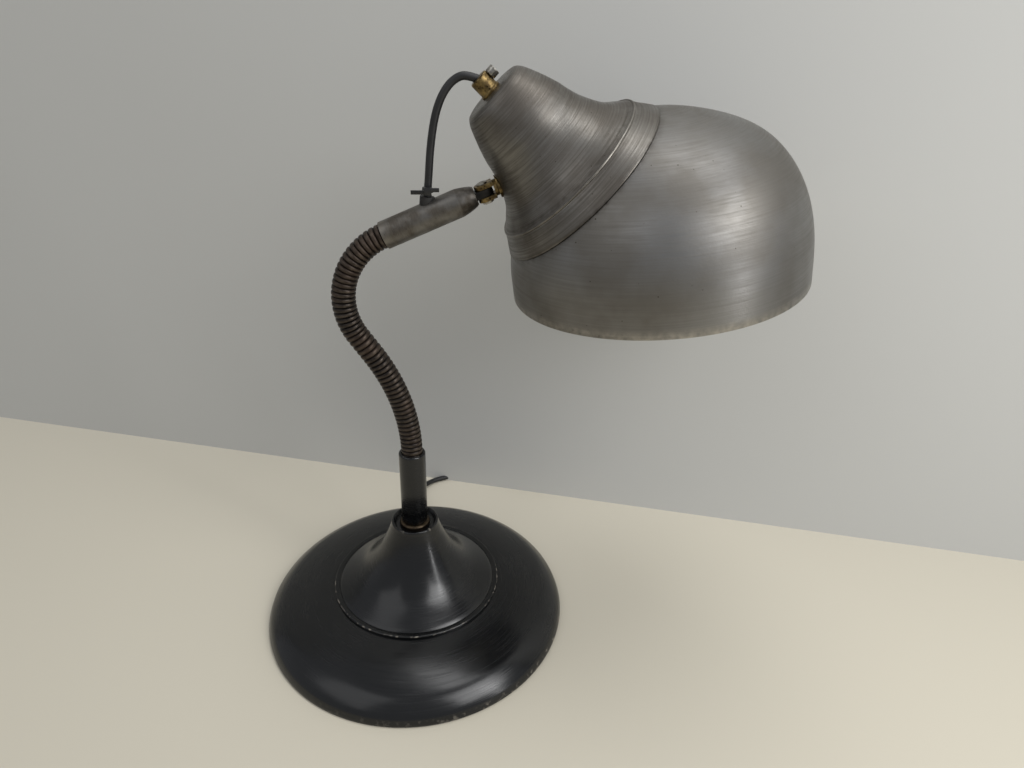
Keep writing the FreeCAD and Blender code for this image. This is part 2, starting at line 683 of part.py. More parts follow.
def grip_screw():
    shaft = rod(GRIP_SCREW_SHAFT_R, grip_side(LEAD_R + 0.9), grip_side(GRIP_R))
    head = rod(GRIP_SCREW_R, grip_side(GRIP_R + FIT), grip_side(GRIP_R + GRIP_SCREW_LEN))
    link = rod(GRIP_SCREW_SHAFT_R, grip_side(GRIP_R - 0.5), grip_side(GRIP_R + 1))
    return shaft.fuse([head, link]).removeSplitter()


def head_lead_route():
    """From the grip's mouth down the neck's axis into the holder."""
    mouth = plane_point(LEAD_ARCH[-1])
    inward = (mouth - plane_point(LEAD_ARCH[-2])).normalize()
    return [mouth, mouth + inward * 4.9, neck_point(NECK_END - 1.5, 0.05), neck_point(HOLDER_TOP - 8.0)]


def head_lead():
    return lead_solid(head_lead_route(), LEAD_R, "head_lead")


# ---------------------------------------------------------------- lampholder and lamp
CAP_LOW = HOLDER_TOP - HOLDER_CAP_LEN
SHELL_LOW = CAP_LOW - HOLDER_SHELL_LEN
LAMP_TOP = HOLDER_TOP - 16.0
LAMP_CAP_LOW = LAMP_TOP - LAMP_CAP_LEN


def holder_cap():
    inner = HOLDER_R - HOLDER_WALL
    return on_neck(lathe([
        (inner, CAP_LOW + FIT), (HOLDER_R, CAP_LOW + FIT), (HOLDER_R, HOLDER_TOP - 8),
        (HOLDER_R - 8, HOLDER_TOP, HOLDER_R - 2.3, HOLDER_TOP - 2.3), (GRIP_NIPPLE_R + FIT, HOLDER_TOP),
        (GRIP_NIPPLE_R + FIT, HOLDER_TOP - 6), (inner - 6, HOLDER_TOP - 6), (inner, HOLDER_TOP - 10),
    ]))


def holder_shell():
    inner = HOLDER_R - HOLDER_WALL
    return on_neck(lathe([
        (inner, SHELL_LOW), (HOLDER_R, SHELL_LOW), (HOLDER_R, CAP_LOW), (inner, CAP_LOW),
    ]))


def holder_insert():
    """Threaded contact sleeve that the lamp cap screws into."""
    return on_neck(ring(INSERT_R, INSERT_R - INSERT_WALL, LAMP_CAP_LOW + 2, LAMP_TOP - 3))


def holder_core():
    """Ceramic body that carries the contact sleeve."""
    body = ring(HOLDER_R - HOLDER_WALL - FIT, INSERT_R + FIT, CAP_LOW - 14, CAP_LOW + 1)
    disc = ring(HOLDER_R - HOLDER_WALL - FIT, 3.0, LAMP_TOP + 1.0, LAMP_TOP + 4.4)
    rim = ring(HOLDER_R - HOLDER_WALL - FIT, INSERT_R + FIT, CAP_LOW, LAMP_TOP + 2)
    return on_neck(body.fuse([disc, rim]).removeSplitter())


def centre_contact():
    low, high = LAMP_TOP + FIT, LAMP_TOP + 1.0 - FIT
    return on_neck(lathe([(0, low), (CONTACT_R, low), (CONTACT_R, high), (0, high)]))


def lamp_cap():
    return on_neck(lathe([
        (0, LAMP_CAP_LOW), (LAMP_CAP_R, LAMP_CAP_LOW), (LAMP_CAP_R, LAMP_TOP - 5),
        (LAMP_CAP_R - 2, LAMP_TOP - 3.5),
        (CONTACT_R, LAMP_TOP - 1.2), (CONTACT_R - 0.6, LAMP_TOP), (0, LAMP_TOP),
    ]))


def lamp_glass():
    """Pear-shaped glass, as a closed wall 1 mm thick."""
    centre = LAMP_TOP - LAMP_LEN + LAMP_GLASS_R
    top = LAMP_CAP_LOW

    def skin(inset):
        radius = LAMP_GLASS_R - inset
        neck = LAMP_CAP_R - 0.6 - inset
        wide = math.radians(LAMP_WIDE_DEG)
        foot_r, foot_z = radius * math.cos(wide), centre + radius * math.sin(wide)
        belly = (wide - math.pi / 2) / 2
        return lathe([
            (0, centre - radius),
            (foot_r, foot_z, radius * math.cos(belly), centre + radius * math.sin(belly)),
            (neck, top, (foot_r + neck) / 2 - 1.6, (foot_z + top) / 2), (0, top),
        ])
    return on_neck(skin(0).cut(skin(LAMP_WALL)))


# ---------------------------------------------------------------- mains lead on the table
def strain_relief():
    start, end = BASE_R - RELIEF_INSIDE, LEAD_TO_SWITCH[0][1]
    lip = BASE_R + FIT
    body = lathe([
        (LEAD_R + FIT, start), (RELIEF_R, start), (RELIEF_R, lip), (RELIEF_R + RELIEF_LIP, lip),
        (RELIEF_R + RELIEF_LIP, lip + 1.8), (RELIEF_R - 0.2, lip + 2.6), (RELIEF_TIP_R, end),
        (LEAD_R + FIT, end),
    ])
    return place(body, V(0, 0, RELIEF_Z), V(0, 1, 0))


def points3(route):
    return [V(*p) for p in route]


def mains_lead_a():
    return lead_solid(points3(LEAD_TO_SWITCH), LEAD_R, "mains_lead_a")


def mains_lead_b():
    return lead_solid(points3(LEAD_TO_COIL), LEAD_R, "mains_lead_b")


def mains_lead_c():
    return lead_solid(points3(LEAD_TO_PLUG), LEAD_R, "mains_lead_c")


def mains_coil():
    half = COIL_TURNS_WIDE * LEAD_R + 0.3
    top = COIL_TURNS_HIGH * LEAD_R * 2 + 0.3
    outer, inner = COIL_MEAN_R + half, COIL_MEAN_R - half
    coil = lathe([(inner + 1.5, 0), (outer - 1.5, 0), (outer, 1.5), (outer, top - 1.5), (outer - 1.5, top),
                  (inner + 1.5, top), (inner, top - 1.5), (inner, 1.5)])
    coil.translate(V(COIL_CENTRE[0], COIL_CENTRE[1], 0))
    return coil


SWITCH_START = V(*LEAD_TO_SWITCH[-1][:2], 0)
SWITCH_END = V(*LEAD_TO_COIL[0][:2], 0)
SWITCH_MID = (SWITCH_START + SWITCH_END) * 0.5
SWITCH_DIR = (SWITCH_END - SWITCH_START).normalize()


def on_switch(shape):
    """Moves a shape with X along the lead from the origin to the switch."""
    moved = shape.copy()
    side = V(0, 0, 1).cross(SWITCH_DIR)
    moved.Placement = FreeCAD.Placement(SWITCH_MID, FreeCAD.Rotation(SWITCH_DIR, side, V(0, 0, 1), "ZXY"))
    return moved


def switch_shape(height, low):
    length = (SWITCH_END - SWITCH_START).Length
    body = rounded_box(length, SWITCH_W, height, 8.0)
    body.translate(V(0, 0, low))
    return body


def switch_bore(length=80.0):
    return Part.makeCylinder(LEAD_R + FIT, length, V(-length / 2, 0, SWITCH_LEAD_Z), V(1, 0, 0))


def switch_base():
    body = switch_shape(SWITCH_BASE_H, 0)
    low = [e for e in body.Edges if e.BoundBox.ZMax < 0.01]
    body = body.makeChamfer(0.8, low)
    hollow = rounded_box(SWITCH_LEN - 14, SWITCH_W - 5, SWITCH_BASE_H, 5.0)
    hollow.translate(V(0, 0, 1.6))
    return on_switch(body.cut(hollow).cut(switch_bore()))


ROCKER_Z = SWITCH_H - 4.6
WINDOW_LEN = ROCKER_LEN + 2 * RUN + 3.0


def switch_cover():
    body = switch_shape(SWITCH_H - SWITCH_BASE_H - FIT, SWITCH_BASE_H + FIT)
    high = [e for e in body.Edges if e.BoundBox.ZMin > SWITCH_H - 0.01]
    body = body.makeFillet(3.0, high)
    hollow = rounded_box(SWITCH_LEN - 14, SWITCH_W - 5, SWITCH_H - SWITCH_BASE_H - 2.0, 5.0)
    hollow.translate(V(0, 0, SWITCH_BASE_H))
    body = body.cut(hollow)
    for side in (-1, 1):
        inner = ROCKER_W / 2 + RUN
        low = inner if side > 0 else -inner - RIB_T
        body = body.fuse(Part.makeBox(8, RIB_T, SWITCH_H - 1 - ROCKER_Z + 2, V(-4, low, ROCKER_Z - 2)))
    body = body.cut(Part.makeBox(WINDOW_LEN, ROCKER_W + 2 * RUN, SWITCH_H,
                                 V(-WINDOW_LEN / 2, -ROCKER_W / 2 - RUN, SWITCH_BASE_H)))
    start = V(0, ROCKER_W / 2 + RIB_T, ROCKER_Z)
    bore = Part.makeCylinder(STUB_R + SHAFT, ROCKER_W + 2 * RIB_T, start, V(0, -1, 0))
    return on_switch(body.cut(bore).removeSplitter())


def switch_rocker():
    """Rocker button with a shallow V across its top and a stub on each side, resting on one end."""
    disc = ROCKER_Z - 2.4
    body = Part.makeCylinder(ROCKER_R, ROCKER_W, V(0, ROCKER_W / 2, disc), V(0, -1, 0))
    body = body.common(Part.makeBox(ROCKER_LEN, ROCKER_W, 12, V(-ROCKER_LEN / 2, -ROCKER_W / 2, disc)))
    for side in (-1, 1):
        body = body.cut(wedge_above(side, disc + ROCKER_R - 1.6))
    reach = ROCKER_W / 2 + RIB_T - RUN
    stubs = Part.makeCylinder(STUB_R, reach * 2, V(0, reach, ROCKER_Z), V(0, -1, 0))
    body = body.fuse(stubs).removeSplitter()
    body.rotate(V(0, 0, ROCKER_Z), V(0, 1, 0), ROCKER_TILT)
    return on_switch(body)


def wedge_above(side, top):
    tilt = 12.0
    box = Part.makeBox(20, ROCKER_W * 2, 10, V(0, -ROCKER_W, 0))
    if side < 0:
        box = Part.makeBox(20, ROCKER_W * 2, 10, V(-20, -ROCKER_W, 0))
    box.rotate(V(0, 0, 0), V(0, 1, 0), -tilt * side * 0.5)
    box.translate(V(0, 0, top))
    return box


PLUG_START = V(*LEAD_TO_PLUG[-1])
PLUG_DIR = V(PLUG_START.x - LEAD_TO_PLUG[-2][0], PLUG_START.y - LEAD_TO_PLUG[-2][1], 0).normalize()


def on_plug(shape):
    """Moves a shape with X along the plug from the origin to the end of the lead."""
    moved = shape.copy()
    side = V(0, 0, 1).cross(PLUG_DIR)
    moved.Placement = FreeCAD.Placement(V(PLUG_START.x, PLUG_START.y, 0),
                                        FreeCAD.Rotation(PLUG_DIR, side, V(0, 0, 1), "ZXY"))
    return moved


def plug_body():
    half, neck = PLUG_W / 2, PLUG_NECK_W / 2
    points = [V(0, -neck, 0), V(0, neck, 0), V(PLUG_LEN * 0.42, neck + 1.5, 0), V(PLUG_LEN * 0.66, half, 0),
              V(PLUG_LEN, half, 0), V(PLUG_LEN, -half, 0), V(PLUG_LEN * 0.66, -half, 0),
              V(PLUG_LEN * 0.42, -neck - 1.5, 0), V(0, -neck, 0)]
    body = Part.Face(Part.makePolygon(points)).extrude(V(0, 0, PLUG_T))
    return on_plug(body.makeFillet(1.6, body.Edges))


def plug_pins():
    pins = []
    for side in (-1, 1):
        start = V(PLUG_LEN + FIT, side * PIN_PITCH / 2, PLUG_T / 2)
        pin = Part.makeCylinder(PIN_R, PIN_LEN - PIN_R, start, V(1, 0, 0))
        pins.append(pin.fuse(Part.makeSphere(PIN_R, start + V(PIN_LEN - PIN_R, 0, 0))).removeSplitter())
    return on_plug(Part.Compound(pins))


def lead_arch():
    return lead_solid([plane_point(p) for p in LEAD_ARCH], LEAD_R, "lead_arch")


# ---------------------------------------------------------------- write the pieces
PIECES = [
    base_dish, base_felt, base_plate, base_weight, cone_cover, stem_nipple, stem_washer, stem_nut,
    stem_collar, stem_tube, base_lead, arm_sleeve, lead_grommet, arm_lead, cable_tie, arm_tongue,
    knuckle_yoke, pivot_screw, pivot_nut, shade_neck, shade_dome, outer_saddle, inner_saddle,
    shank_nut, grip_nipple, grip_body, grip_screw, head_lead, holder_cap, holder_shell,
    holder_insert, holder_core, centre_contact, lamp_cap, lamp_glass, strain_relief, mains_lead_a,
    mains_lead_b, mains_lead_c, mains_coil, switch_base, switch_cover, switch_rocker, plug_body,
    plug_pins, lead_arch,
]


def main():
    os.makedirs("parts", exist_ok=True)
    made = {piece.__name__: piece() for piece in PIECES}
    for index in range(len(hose_stations()) - 1):
        made["hose_%d" % (index + 1)] = hose_piece(index, HOSE_R, HOSE_BORE)
        made["hose_lead_%d" % (index + 1)] = hose_piece(index, LEAD_R, 0)
    for name, shape in made.items():
        shape.exportStep("parts/%s.step" % name)
    print(len(made), "pieces; pivot", PIVOT, "arm start", ARM_START)
    for index, (point, heading) in enumerate(hose_stations()):
        print("station", index, round(point.x, 2), round(point.z, 2), "heading", round(heading, 2))


main()
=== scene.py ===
import json
import logging
import math
from dataclasses import dataclass, field
from enum import Enum

import bpy
from mathutils import Matrix, Vector

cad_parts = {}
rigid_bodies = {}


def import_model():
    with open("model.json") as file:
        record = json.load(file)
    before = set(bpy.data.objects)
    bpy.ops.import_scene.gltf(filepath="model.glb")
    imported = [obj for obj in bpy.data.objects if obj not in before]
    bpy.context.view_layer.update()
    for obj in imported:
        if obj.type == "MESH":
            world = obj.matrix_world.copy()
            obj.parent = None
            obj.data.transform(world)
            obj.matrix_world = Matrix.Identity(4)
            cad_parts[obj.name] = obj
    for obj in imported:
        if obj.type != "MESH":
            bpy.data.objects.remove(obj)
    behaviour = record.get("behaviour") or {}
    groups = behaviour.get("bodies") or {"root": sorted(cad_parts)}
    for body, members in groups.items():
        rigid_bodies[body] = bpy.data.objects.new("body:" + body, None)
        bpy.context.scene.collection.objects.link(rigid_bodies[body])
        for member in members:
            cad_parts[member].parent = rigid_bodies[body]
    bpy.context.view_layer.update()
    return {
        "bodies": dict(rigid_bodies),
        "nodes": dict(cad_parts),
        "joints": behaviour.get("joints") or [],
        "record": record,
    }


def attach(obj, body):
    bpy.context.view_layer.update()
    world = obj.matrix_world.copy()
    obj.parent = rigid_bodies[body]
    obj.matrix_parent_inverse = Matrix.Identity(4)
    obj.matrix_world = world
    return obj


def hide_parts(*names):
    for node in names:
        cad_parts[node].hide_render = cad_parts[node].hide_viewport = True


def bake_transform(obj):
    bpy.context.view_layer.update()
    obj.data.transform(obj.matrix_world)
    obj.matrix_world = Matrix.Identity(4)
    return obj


# Gooseneck desk lamp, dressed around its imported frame. Sizes are in millimetres and are turned to
# metres where a mesh is made. +Z is up and the shade is towards +X.

LOG = logging.getLogger("lamp")
MM = 0.001


# ---------------------------------------------------------------- the frame's own geometry
@dataclass(frozen=True)
class Layout:
    """Places that several sub-assemblies share."""

    stem_top: float = 150.0
    low_radius: float = 149.0
    low_degrees: float = 33.0
    middle_run: float = 16.0
    top_radius: float = 47.0
    arm_degrees: float = 23.5
    pivot_at: float = 70.0
    dome: Vector = field(default_factory=lambda: Vector((168.9, 0.0, 295.8)))
    neck_degrees: float = 42.3
    skirt_degrees: float = 8.9

    @staticmethod
    def heading(degrees: float) -> Vector:
        """Unit vector in the lamp's plane at an angle above +X."""
        return Vector((math.cos(math.radians(degrees)), 0.0, math.sin(math.radians(degrees))))

    @property
    def neck_axis(self) -> Vector:
        """Direction from the middle of the dome up the neck."""
        return self.heading(180.0 - self.neck_degrees)

    @property
    def mouth_axis(self) -> Vector:
        """Direction that the shade's mouth faces."""
        return self.heading(self.skirt_degrees - 90.0)

    def hose(self, distance: float) -> tuple[Vector, float]:
        """Follows the hose's middle line.

        Args:
            distance: how far along the hose from the top of the stem.

        Returns:
            The point there and the heading in degrees.
        """
        low_length = math.radians(self.low_degrees) * self.low_radius
        lean = 90.0 + self.low_degrees
        if distance < 0.0:
            return Vector((0.0, 0.0, self.stem_top + distance)), 90.0
        low_centre = Vector((-self.low_radius, 0.0, self.stem_top))
        if distance < low_length:
            turned = math.degrees(distance / self.low_radius)
            return low_centre + self.heading(turned) * self.low_radius, 90.0 + turned
        low_end = low_centre + self.heading(self.low_degrees) * self.low_radius
        if distance < low_length + self.middle_run:
            return low_end + self.heading(lean) * (distance - low_length), lean
        middle_end = low_end + self.heading(lean) * self.middle_run
        top_centre = middle_end + self.heading(lean - 90.0) * self.top_radius
        turned = math.degrees((distance - low_length - self.middle_run) / self.top_radius)
        turn = lean - self.arm_degrees
        if turned < turn:
            here = lean - turned
            return top_centre + self.heading(here + 90.0) * self.top_radius, here
        end = top_centre + self.heading(self.arm_degrees + 90.0) * self.top_radius
        past = math.radians(turned - turn) * self.top_radius
        return end + self.heading(self.arm_degrees) * past, self.arm_degrees

    @property
    def hose_length(self) -> float:
        """Length of the hose from the stem to the sleeve."""
        turn = 90.0 + self.low_degrees - self.arm_degrees
        return (math.radians(self.low_degrees) * self.low_radius + self.middle_run
                + math.radians(turn) * self.top_radius)

    @property
    def arm_start(self) -> Vector:
        """Where the hose enters the sleeve."""
        return self.hose(self.hose_length)[0]

    @property
    def arm_axis(self) -> Vector:
        """Direction of the sleeve."""
        return self.heading(self.arm_degrees)


# ---------------------------------------------------------------- materials
def linear(colour: str) -> tuple[float, float, float, float]:
    """Turns an sRGB hex colour to linear.

    Args:
        colour: six hex digits, such as "8a7f70".

    Returns:
        Linear red, green and blue, and an alpha of 1.
    """
    channels = [int(colour[i:i + 2], 16) / 255.0 for i in (0, 2, 4)]
    values = [c / 12.92 if c <= 0.04045 else ((c + 0.055) / 1.055) ** 2.4 for c in channels]
    return values[0], values[1], values[2], 1.0


def add_node(tree: bpy.types.NodeTree, kind: str, settings: dict | None = None,
             inputs: dict | None = None) -> bpy.types.Node:
    """Adds a shader node with its settings, and its inputs' values or links.

    Args:
        tree: the node tree.
        kind: the node's type name.
        settings: the node's own properties.
        inputs: socket name or index, with a value or the socket that feeds it.

    Returns:
        The new node.
    """
    node = tree.nodes.new(kind)
    for key, value in (settings or {}).items():
        setattr(node, key, value)
    for key, value in (inputs or {}).items():
        if isinstance(value, bpy.types.NodeSocket):
            tree.links.new(value, node.inputs[key])
        else:
            node.inputs[key].default_value = value
    return node


class Lay(Enum):
    """Which way the marks of making run on a surface."""

    NONE = "no direction"
    TURNED = "round an axis"


@dataclass(frozen=True)
class Finish:
    """A surface: what it is made of, how it was made, how it has been rubbed and soiled, and its painted shade and
    highlight. Sizes are in millimetres.
    """

    name: str
    colour: str
    second: str                       # colour of the cloudy patches
    patch_mm: float = 30.0
    metallic: float = 0.0
    roughness: tuple[float, float] = (0.35, 0.5)
    coat: float = 0.0
    coat_roughness: float = 0.1
    lay: Lay = Lay.NONE
    axis_at: tuple[float, float, float] = (0.0, 0.0, 0.0)
    axis: tuple[float, float, float] = (0.0, 0.0, 1.0)
    line_mm: float = 0.8              # width of a turned or brushed line
    line_turns: float = 5.0           # how often a line changes round the axis
    line_colour: str | None = None
    line_share: float = 0.4
    line_bump: float = 0.02
    grain_mm: float = 1.0
    grain_bump: float = 0.02
    speck: str | None = None
    speck_mm: float = 3.0
    speck_size: float = 0.12
    worn_and_highlight: str | None = None           # what shows where the edges are rubbed, and a painted highlight on a bead's crown
    wear_gain: float = 1.6            # steep for chips, low for an even rub
    wear_offset: float = -0.45
    dirt_and_shade: str | None = None           # what lies in grooves and on soiled parts, and painted shade in grooves, creases and seams
    sheen: float = 0.0

    def _lines(self, tree: bpy.types.NodeTree, place: bpy.types.NodeSocket) -> bpy.types.NodeSocket:
        """Fine lines round the axis, as a value from 0 to 1."""
        turn = Vector((0.0, 0.0, 1.0)).rotation_difference(Vector(self.axis)).to_euler()
        local = add_node(tree, "ShaderNodeMapping", {"vector_type": "TEXTURE"},
                         {"Vector": place, "Location": Vector(self.axis_at) * MM, "Rotation": turn})
        parts = add_node(tree, "ShaderNodeSeparateXYZ", None, {0: local.outputs[0]})
        flat = add_node(tree, "ShaderNodeCombineXYZ", None, {"X": parts.outputs["X"], "Y": parts.outputs["Y"]})
        radius = add_node(tree, "ShaderNodeVectorMath", {"operation": "LENGTH"}, {0: flat.outputs[0]})
        angle = add_node(tree, "ShaderNodeMath", {"operation": "ARCTAN2"},
                         {0: parts.outputs["Y"], 1: parts.outputs["X"]})
        per = 1.0 / (self.line_mm * MM)
        wide = add_node(tree, "ShaderNodeMath", {"operation": "MULTIPLY"}, {0: radius.outputs["Value"], 1: per})
        high = add_node(tree, "ShaderNodeMath", {"operation": "MULTIPLY"}, {0: parts.outputs["Z"], 1: per})
        around = add_node(tree, "ShaderNodeMath", {"operation": "MULTIPLY"},
                          {0: angle.outputs[0], 1: self.line_turns})
        where = add_node(tree, "ShaderNodeCombineXYZ", None,
                         {"X": wide.outputs[0], "Y": high.outputs[0], "Z": around.outputs[0]})
        noise = add_node(tree, "ShaderNodeTexNoise", None,
                         {"Vector": where.outputs[0], "Scale": 1.0, "Detail": 3.0, "Roughness": 0.6})
        return add_node(tree, "ShaderNodeMapRange", None,
                        {"Value": noise.outputs[0], "From Min": 0.3, "From Max": 0.7}).outputs[0]

    @staticmethod
    def _mix(tree: bpy.types.NodeTree, share: object, low: object, high: object) -> bpy.types.NodeSocket:
        """Mixes two colours, given as sockets or values, by a share."""
        node = add_node(tree, "ShaderNodeMix", {"data_type": "RGBA"}, {0: share, 6: low, 7: high})
        return node.outputs[2]

    def material(self) -> bpy.types.Material:
        """Builds the material once.

        Returns:
            The material, new or built before.
        """
        known = bpy.data.materials.get(self.name)
        if known:
            return known
        made = bpy.data.materials.new(self.name)
        made.use_nodes = True
        tree = made.node_tree
        shader = tree.nodes["Principled BSDF"]
        place = add_node(tree, "ShaderNodeTexCoord").outputs["Object"]

        patches = add_node(tree, "ShaderNodeTexNoise", None,
                           {"Vector": place, "Scale": 1.0 / (self.patch_mm * MM), "Detail": 4.0})
        cloud = add_node(tree, "ShaderNodeMapRange", None,
                         {"Value": patches.outputs[0], "From Min": 0.38, "From Max": 0.62})
        colour = self._mix(tree, cloud.outputs[0], linear(self.colour), linear(self.second))
        grain = add_node(tree, "ShaderNodeTexNoise", None,
                         {"Vector": place, "Scale": 1.0 / (self.grain_mm * MM), "Detail": 2.0})
        rough = add_node(tree, "ShaderNodeMapRange", None,
                         {"Value": patches.outputs[0], "From Min": 0.3, "From Max": 0.7,
                          "To Min": self.roughness[0], "To Max": self.roughness[1]}).outputs[0]
        bump = add_node(tree, "ShaderNodeBump", None,
                        {"Strength": 1.0, "Distance": self.grain_bump * MM, "Height": grain.outputs[0]})
        if self.lay is Lay.TURNED:
            lines = self._lines(tree, place)
            bump = add_node(tree, "ShaderNodeBump", None,
                            {"Strength": 1.0, "Distance": self.line_bump * MM, "Height": lines,
                             "Normal": bump.outputs[0]})
            if self.line_colour:
                share = add_node(tree, "ShaderNodeMath", {"operation": "MULTIPLY"},
                                 {0: lines, 1: self.line_share}).outputs[0]
                colour = self._mix(tree, share, colour, linear(self.line_colour))
            rough = add_node(tree, "ShaderNodeMath", {"operation": "MULTIPLY_ADD"},
                             {0: lines, 1: 0.12, 2: rough}).outputs[0]
        if self.speck:
            cells = add_node(tree, "ShaderNodeTexVoronoi", None,
                             {"Vector": place, "Scale": 1.0 / (self.speck_mm * MM)})
            share = add_node(tree, "ShaderNodeMapRange", None,
                             {"Value": cells.outputs["Distance"], "From Min": self.speck_size,
                              "From Max": self.speck_size * 0.6})
            picked = add_node(tree, "ShaderNodeMath", {"operation": "MULTIPLY"},
                              {0: share.outputs[0], 1: cloud.outputs[0]})
            colour = self._mix(tree, picked.outputs[0], colour, linear(self.speck))
        # Masks per vertex mix in their tints: soiling, and painted shade in grooves, creases and seams; rubbed wear,
        # and a painted highlight on the neck's bead ring.
        for attribute, tint in (("dirt_and_shade", self.dirt_and_shade), ("wear_and_highlight", self.worn_and_highlight)):
            if tint:
                mark_mask = add_node(tree, "ShaderNodeAttribute", {"attribute_name": attribute})
                broken = add_node(tree, "ShaderNodeTexNoise", None,
                                  {"Vector": place, "Scale": 1.0 / (4.0 * MM), "Detail": 5.0})
                share = add_node(tree, "ShaderNodeMath", {"operation": "MULTIPLY_ADD", "use_clamp": True},
                                 {0: broken.outputs[0], 1: self.wear_gain, 2: self.wear_offset})
                share = add_node(tree, "ShaderNodeMath", {"operation": "MULTIPLY", "use_clamp": True},
                                 {0: mark_mask.outputs["Fac"], 1: share.outputs[0]})
                colour = self._mix(tree, share.outputs[0], colour, linear(tint))
        for socket, value in (("Base Color", colour), ("Roughness", rough), ("Normal", bump.outputs[0])):
            tree.links.new(value, shader.inputs[socket])
        shader.inputs["Metallic"].default_value = self.metallic
        shader.inputs["Coat Weight"].default_value = self.coat
        shader.inputs["Coat Roughness"].default_value = self.coat_roughness
        shader.inputs["Sheen Weight"].default_value = self.sheen
        return made


LAYOUT = Layout()

# Black stoving lacquer, sprayed and stoved: deep gloss with a faint orange peel and hazy polishing marks.
LACQUER = Finish("stoved_black_lacquer", "060708", "0a0b0d", 45.0, 0.0, (0.13, 0.21), 0.0, 0.12,
                 Lay.TURNED, line_mm=0.9, line_turns=2.0, line_colour="0f1012", line_share=0.12,
                 line_bump=0.0012, grain_mm=2.6, grain_bump=0.008, speck="3c3832", speck_mm=9.0,
                 speck_size=0.02, worn_and_highlight="8b8479", wear_gain=7.0, wear_offset=-3.7, dirt_and_shade="1c1a17")
# Wound steel hose in dark bronze lacquer: the crowns are rubbed to brown grey metal, and the grooves are painted darker
# as painted shade.
HOSE_LACQUER = Finish("bronzed_hose_lacquer", "1f1a17", "33271f", 16.0, 0.7, (0.34, 0.5),
                      grain_mm=0.9, grain_bump=0.03, worn_and_highlight="5f554b", dirt_and_shade="090807")
# Steel tube, chemically blackened and rubbed: a satin gunmetal grey that goes brown towards the edges.
GUNMETAL = Finish("rubbed_gunmetal_steel", "6b6966", "4e4943", 9.0, 0.9, (0.3, 0.46), 0.0, 0.1,
                  Lay.TURNED, tuple(LAYOUT.arm_start), tuple(LAYOUT.arm_axis), line_mm=0.5, line_turns=1.5,
                  line_colour="807a70", line_share=0.35, line_bump=0.01, grain_mm=0.8, grain_bump=0.02,
                  speck="2a2623", speck_mm=2.2, speck_size=0.14, worn_and_highlight="8f877a", dirt_and_shade="2b231b")
# Blackened mild steel: dull and nearly black, as it comes from the scale.
BLACK_STEEL = Finish("blackened_mild_steel", "1b1a19", "2a2724", 5.0, 0.7, (0.4, 0.55), grain_mm=0.7,
                     grain_bump=0.03, worn_and_highlight="6b6459", dirt_and_shade="0c0b0a")
# Turned brass, long unpolished: yellow on the faces with a brown bloom in patches and corners.
AGED_BRASS = Finish("aged_turned_brass", "8c7850", "574830", 4.0, 1.0, (0.34, 0.52), grain_mm=0.6,
                    grain_bump=0.03, speck="2a2116", speck_mm=1.8, speck_size=0.38, worn_and_highlight="a8956a", dirt_and_shade="2c2318")
# Nickel plating over steel: a cool grey shine with small dull spots.
NICKEL = Finish("worn_nickel_plate", "a7a49d", "837e75", 3.0, 1.0, (0.2, 0.34), grain_mm=0.5, grain_bump=0.01,
                speck="4b453d", speck_mm=1.2, speck_size=0.14)
# Spun steel, stripped and brushed: grey with a brown cast, turning lines, and dark pin specks of old rust. Its pale
# colour is a painted highlight on the bead ring's crown, and its dark colour is painted shade in the creases beside the
# bead and at the seam.
NECK_STEEL = Finish("spun_brushed_steel_neck", "83807b", "6d6862", 26.0, 1.0, (0.3, 0.42), 0.0, 0.1,
                    Lay.TURNED, tuple(LAYOUT.dome), tuple(LAYOUT.neck_axis), line_mm=0.9, line_turns=1.2,
                    line_colour="4a4640", line_share=0.65, line_bump=0.045, grain_mm=1.2, grain_bump=0.02,
                    speck="3a332b", speck_mm=5.0, speck_size=0.09, worn_and_highlight="c3bdb2", dirt_and_shade="37312a")
# The dome is the same steel, polished while it turned: fine, soft lines round the mouth's axis. Its dark colour is
# painted shade beside the seam, and its pale colour is the rubbed edge at the mouth.
DOME_STEEL = Finish("spun_brushed_steel_dome", "858482", "74716c", 42.0, 1.0, (0.34, 0.47), 0.0, 0.1,
                    Lay.TURNED, tuple(LAYOUT.dome), tuple(LAYOUT.mouth_axis), line_mm=1.2, line_turns=1.6,
                    line_colour="66625c", line_share=0.34, line_bump=0.014, grain_mm=1.4, grain_bump=0.03,
                    speck="3a332b", speck_mm=6.5, speck_size=0.08, worn_and_highlight="c3bdb2", dirt_and_shade="37312a")
# Rubber-sheathed flex: soft satin black with a dusty bloom.
FLEX = Finish("black_rubber_flex", "121213", "1c1c1d", 14.0, 0.0, (0.42, 0.55), grain_mm=0.7, grain_bump=0.02)
# Moulded rubber: matt black.
RUBBER = Finish("moulded_black_rubber", "151515", "1f1e1d", 8.0, 0.0, (0.55, 0.7), grain_mm=0.6, grain_bump=0.03)
# Nylon 66, moulded: black with a low waxy shine.
NYLON = Finish("moulded_black_nylon", "111112", "19191a", 6.0, 0.0, (0.32, 0.42), grain_mm=0.4, grain_bump=0.01)
# Compression-moulded phenolic resin: brown black with a polished skin.
PHENOLIC = Finish("moulded_brown_phenolic", "1c1310", "2a1c16", 7.0, 0.0, (0.2, 0.3), 0.3, 0.1,
                  grain_mm=1.0, grain_bump=0.01, speck="40291d", speck_mm=2.0, speck_size=0.2)
# Glazed porcelain: white under a clear glaze.
PORCELAIN = Finish("glazed_porcelain", "ece9e0", "e2ddd1", 9.0, 0.0, (0.12, 0.2), 0.4, 0.05)
# Stamped copper: bright pink brown.
COPPER = Finish("stamped_copper", "b87850", "8f5b3c", 3.0, 1.0, (0.25, 0.4), grain_mm=0.5, grain_bump=0.01)
